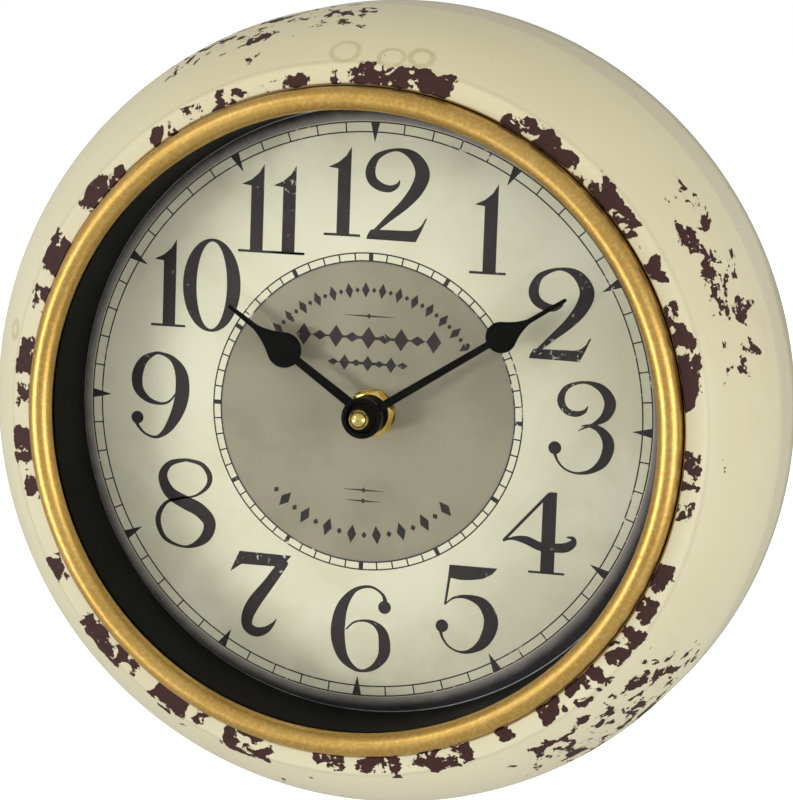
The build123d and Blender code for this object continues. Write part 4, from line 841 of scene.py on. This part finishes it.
def draw_numeral(hour, solid, origin):
    """One hour numeral about its centre."""
    if hour == 1:
        draw_one(solid, origin, 4.9, 0.0, (-2.9, 7.9))
    elif hour == 2:
        draw_two(solid, origin)
    elif hour == 3:
        for layer, knots in enumerate(THREE):
            solid.stroke(knots, *ink_layer(layer), origin=origin)
    elif hour == 4:
        stem = [(-0.1, 12.9), (2.1, 12.9), (2.1, -10.6), (-2.0, -10.6), (-2.0, 10.6)]
        foot = [(-5.5, -10.5), (5.2, -10.5), (5.2, -11.2), (-5.5, -11.2)]
        fill(solid, stem, origin, 0)
        fill(solid, foot, origin, 1)
        solid.stroke(((-0.2, 12.4, 0.9), (-6.8, 4.9, 0.9), (-13.2, -2.4, 0.9)), *ink_layer(2), origin=origin)
        solid.stroke(FOUR_BAR, *ink_layer(3), origin=origin)
    elif hour == 5:
        flag = [(-5.4, 12.7), (9.0, 12.7), (7.4, 10.8), (4.8, 9.3), (1.2, 8.6), (-2.0, 8.4), (-5.2, 8.8)]
        fill(solid, flag, origin, 2)
        for layer, knots in enumerate(FIVE):
            solid.stroke(knots, *ink_layer(layer), origin=origin)
    elif hour == 6:
        solid.stroke(SIX, *ink_layer(0), origin=origin)
    elif hour == 7:
        solid.stroke(SEVEN, *ink_layer(0), origin=origin)
        fill(solid, SEVEN_BAR, origin, 1)
    elif hour == 8:
        solid.stroke(EIGHT, *ink_layer(0), origin=origin)
    elif hour == 9:
        solid.stroke(NINE, *ink_layer(0), origin=origin)
    elif hour == 10:
        draw_one(solid, origin, -3.7, 2.4, (-11.2, -0.5))
        oval = (origin[0] + 7.4, origin[1] + 2.3)
        solid.ring(12.9, 13.8, *ink_layer(2), centre=oval, squeeze=(4.7 / 12.9, 8.9 / 13.8), steps=72)
    elif hour == 11:
        draw_one(solid, origin, -0.8, 2.35, (-8.3, 12.0))
        draw_one(solid, origin, 8.9, 2.35, (2.2, 12.0))
    else:
        draw_one(solid, origin, -6.8, 0.0, (-14.5, -3.5))
        draw_two(solid, origin, (6.2, -0.6))
    if hour in BALLS:
        draw_ball(solid, origin, hour)


def make_numerals():
    for hour in range(1, 13):
        solid = Solid()
        x, z = polar(NUMERAL_R, hour * 30)
        draw_numeral(hour, solid, (PRINT_X + x, z))
        add_print(f"numeral_{hour}", solid)


def lozenge(solid, x, z, half_wide, half_tall, turn, layer):
    """A diamond turned about its own centre, clockwise."""
    c, s = cos(radians(turn)), sin(radians(turn))
    corners = ((0, half_tall), (half_wide, 0), (0, -half_tall), (-half_wide, 0))
    solid.prism([(x + u * c + v * s, z - u * s + v * c) for u, v in corners], *ink_layer(layer))


def rule(solid, z, half_long, width, layer):
    """A level line that tapers from its middle to both ends."""
    knots = ((PRINT_X - half_long, z, 0.1), (PRINT_X, z, width), (PRINT_X + half_long, z, 0.1))
    solid.stroke(knots, *ink_layer(layer))


def make_ornaments():
    """Plain ornament in the places of a dial's usual lettering."""
    for name, r, stops, half_wide, half_tall in ORNAMENT_ARCS:
        solid = Solid()
        for number, clock in enumerate(stops):
            x, z = polar(r, clock)
            wide, tall = (1.0, 1.0) if number % 2 == 0 else (SMALL_WIDE, SMALL_TALL)
            lozenge(solid, PRINT_X + x, z, half_wide * wide, half_tall * tall, clock, 0)
        add_print(name, solid)
    solid = Solid()
    for z, half_long, tall, gap in ORNAMENT_ROWS:
        count = int(half_long / gap)
        for k in range(-count, count + 1):
            lozenge(solid, PRINT_X + k * gap, z, gap * 0.46, tall * (1.0 if k % 2 == 0 else 0.45), 0, 0)
        rule(solid, z, half_long, 0.9, 1)
    for z, half_long in ORNAMENT_RULES:
        rule(solid, z, half_long, 0.5, 2)
        lozenge(solid, PRINT_X, z, 0.8, 0.8, 0, 3)
    add_print("centre_ornament", solid)


# ================================================================ Stage
def make_camera():
    """The camera, aimed at the dial and then panned, tilted and rolled a little."""
    az, el = radians(CAMERA_AZIMUTH), radians(CAMERA_ELEVATION)
    back = Vector((sin(az) * cos(el), -cos(az) * cos(el), sin(el)))
    right = Vector((cos(az), sin(az), 0.0))
    up, ahead = back.cross(right), -back
    pan, tilt, roll = radians(CAMERA_PAN), radians(CAMERA_TILT), radians(CAMERA_ROLL)
    right, ahead = right * cos(pan) - ahead * sin(pan), right * sin(pan) + ahead * cos(pan)
    up, ahead = up * cos(tilt) - ahead * sin(tilt), up * sin(tilt) + ahead * cos(tilt)
    right, up = right * cos(roll) - up * sin(roll), right * sin(roll) + up * cos(roll)
    camera = bpy.data.objects.new("camera", bpy.data.cameras.new("camera"))
    camera.data.lens = CAMERA_LENS
    camera.data.sensor_width = CAMERA_SENSOR
    turned = Matrix((right, up, -ahead)).transposed().to_4x4()
    camera.matrix_world = Matrix.Translation(LOOK_AT + back * CAMERA_DISTANCE) @ turned
    bpy.context.scene.collection.objects.link(camera)
    bpy.context.scene.camera = camera


def make_stage():
    """A pale floor well below the clock, a white surround and soft lights."""
    half = FLOOR_SIZE / 2
    corners = [(-half, -half, FLOOR_Z), (half, -half, FLOOR_Z), (half, half, FLOOR_Z), (-half, half, FLOOR_Z)]
    mesh = bpy.data.meshes.new("floor")
    mesh.from_pydata(corners, [], [(0, 1, 2, 3)])
    mesh.materials.append(floor_white())
    floor = bpy.data.objects.new("floor", mesh)
    bpy.context.scene.collection.objects.link(floor)
    world = bpy.data.worlds.new("white_surround")
    world.use_nodes = True
    nodes, links = world.node_tree.nodes, world.node_tree.links
    shine = nodes["Background"]
    shine.inputs["Color"].default_value = (1.0, 1.0, 1.0, 1.0)
    toward = nodes.new("ShaderNodeVectorMath")
    toward.operation = "DOT_PRODUCT"
    toward.inputs[1].default_value = WORLD_BRIGHT_SIDE
    links.new(nodes.new("ShaderNodeTexCoord").outputs["Generated"], toward.inputs[0])
    level = nodes.new("ShaderNodeMapRange")
    level.interpolation_type = "SMOOTHSTEP"
    ramp = {"From Min": WORLD_RAMP[0], "From Max": WORLD_RAMP[1],
            "To Min": WORLD_DARK, "To Max": WORLD_BRIGHT}
    for key, value in ramp.items():
        level.inputs[key].default_value = value
    links.new(toward.outputs["Value"], level.inputs["Value"])
    seen = nodes.new("ShaderNodeMix")
    links.new(nodes.new("ShaderNodeLightPath").outputs["Is Camera Ray"], seen.inputs[0])
    links.new(level.outputs["Result"], seen.inputs[2])
    seen.inputs[3].default_value = 1.0
    links.new(seen.outputs[0], shine.inputs["Strength"])
    bpy.context.scene.world = world
    for name, place, size, watts in LIGHTS:
        light = bpy.data.lights.new(name, "AREA")
        light.size = size
        light.energy = watts
        lamp = bpy.data.objects.new(name, light)
        lamp.location = place
        lamp.rotation_mode = "QUATERNION"
        lamp.rotation_quaternion = (LOOK_AT - Vector(place)).to_track_quat("-Z", "Y")
        bpy.context.scene.collection.objects.link(lamp)
    bpy.context.scene.view_settings.view_transform = "Standard"


paint_frame()
make_case()
make_track("outer_track", *OUTER_TRACK, bold=False)
make_track("inner_track", *INNER_TRACK, bold=True)
make_hour_points()
make_numerals()
make_ornaments()
make_camera()
make_stage()
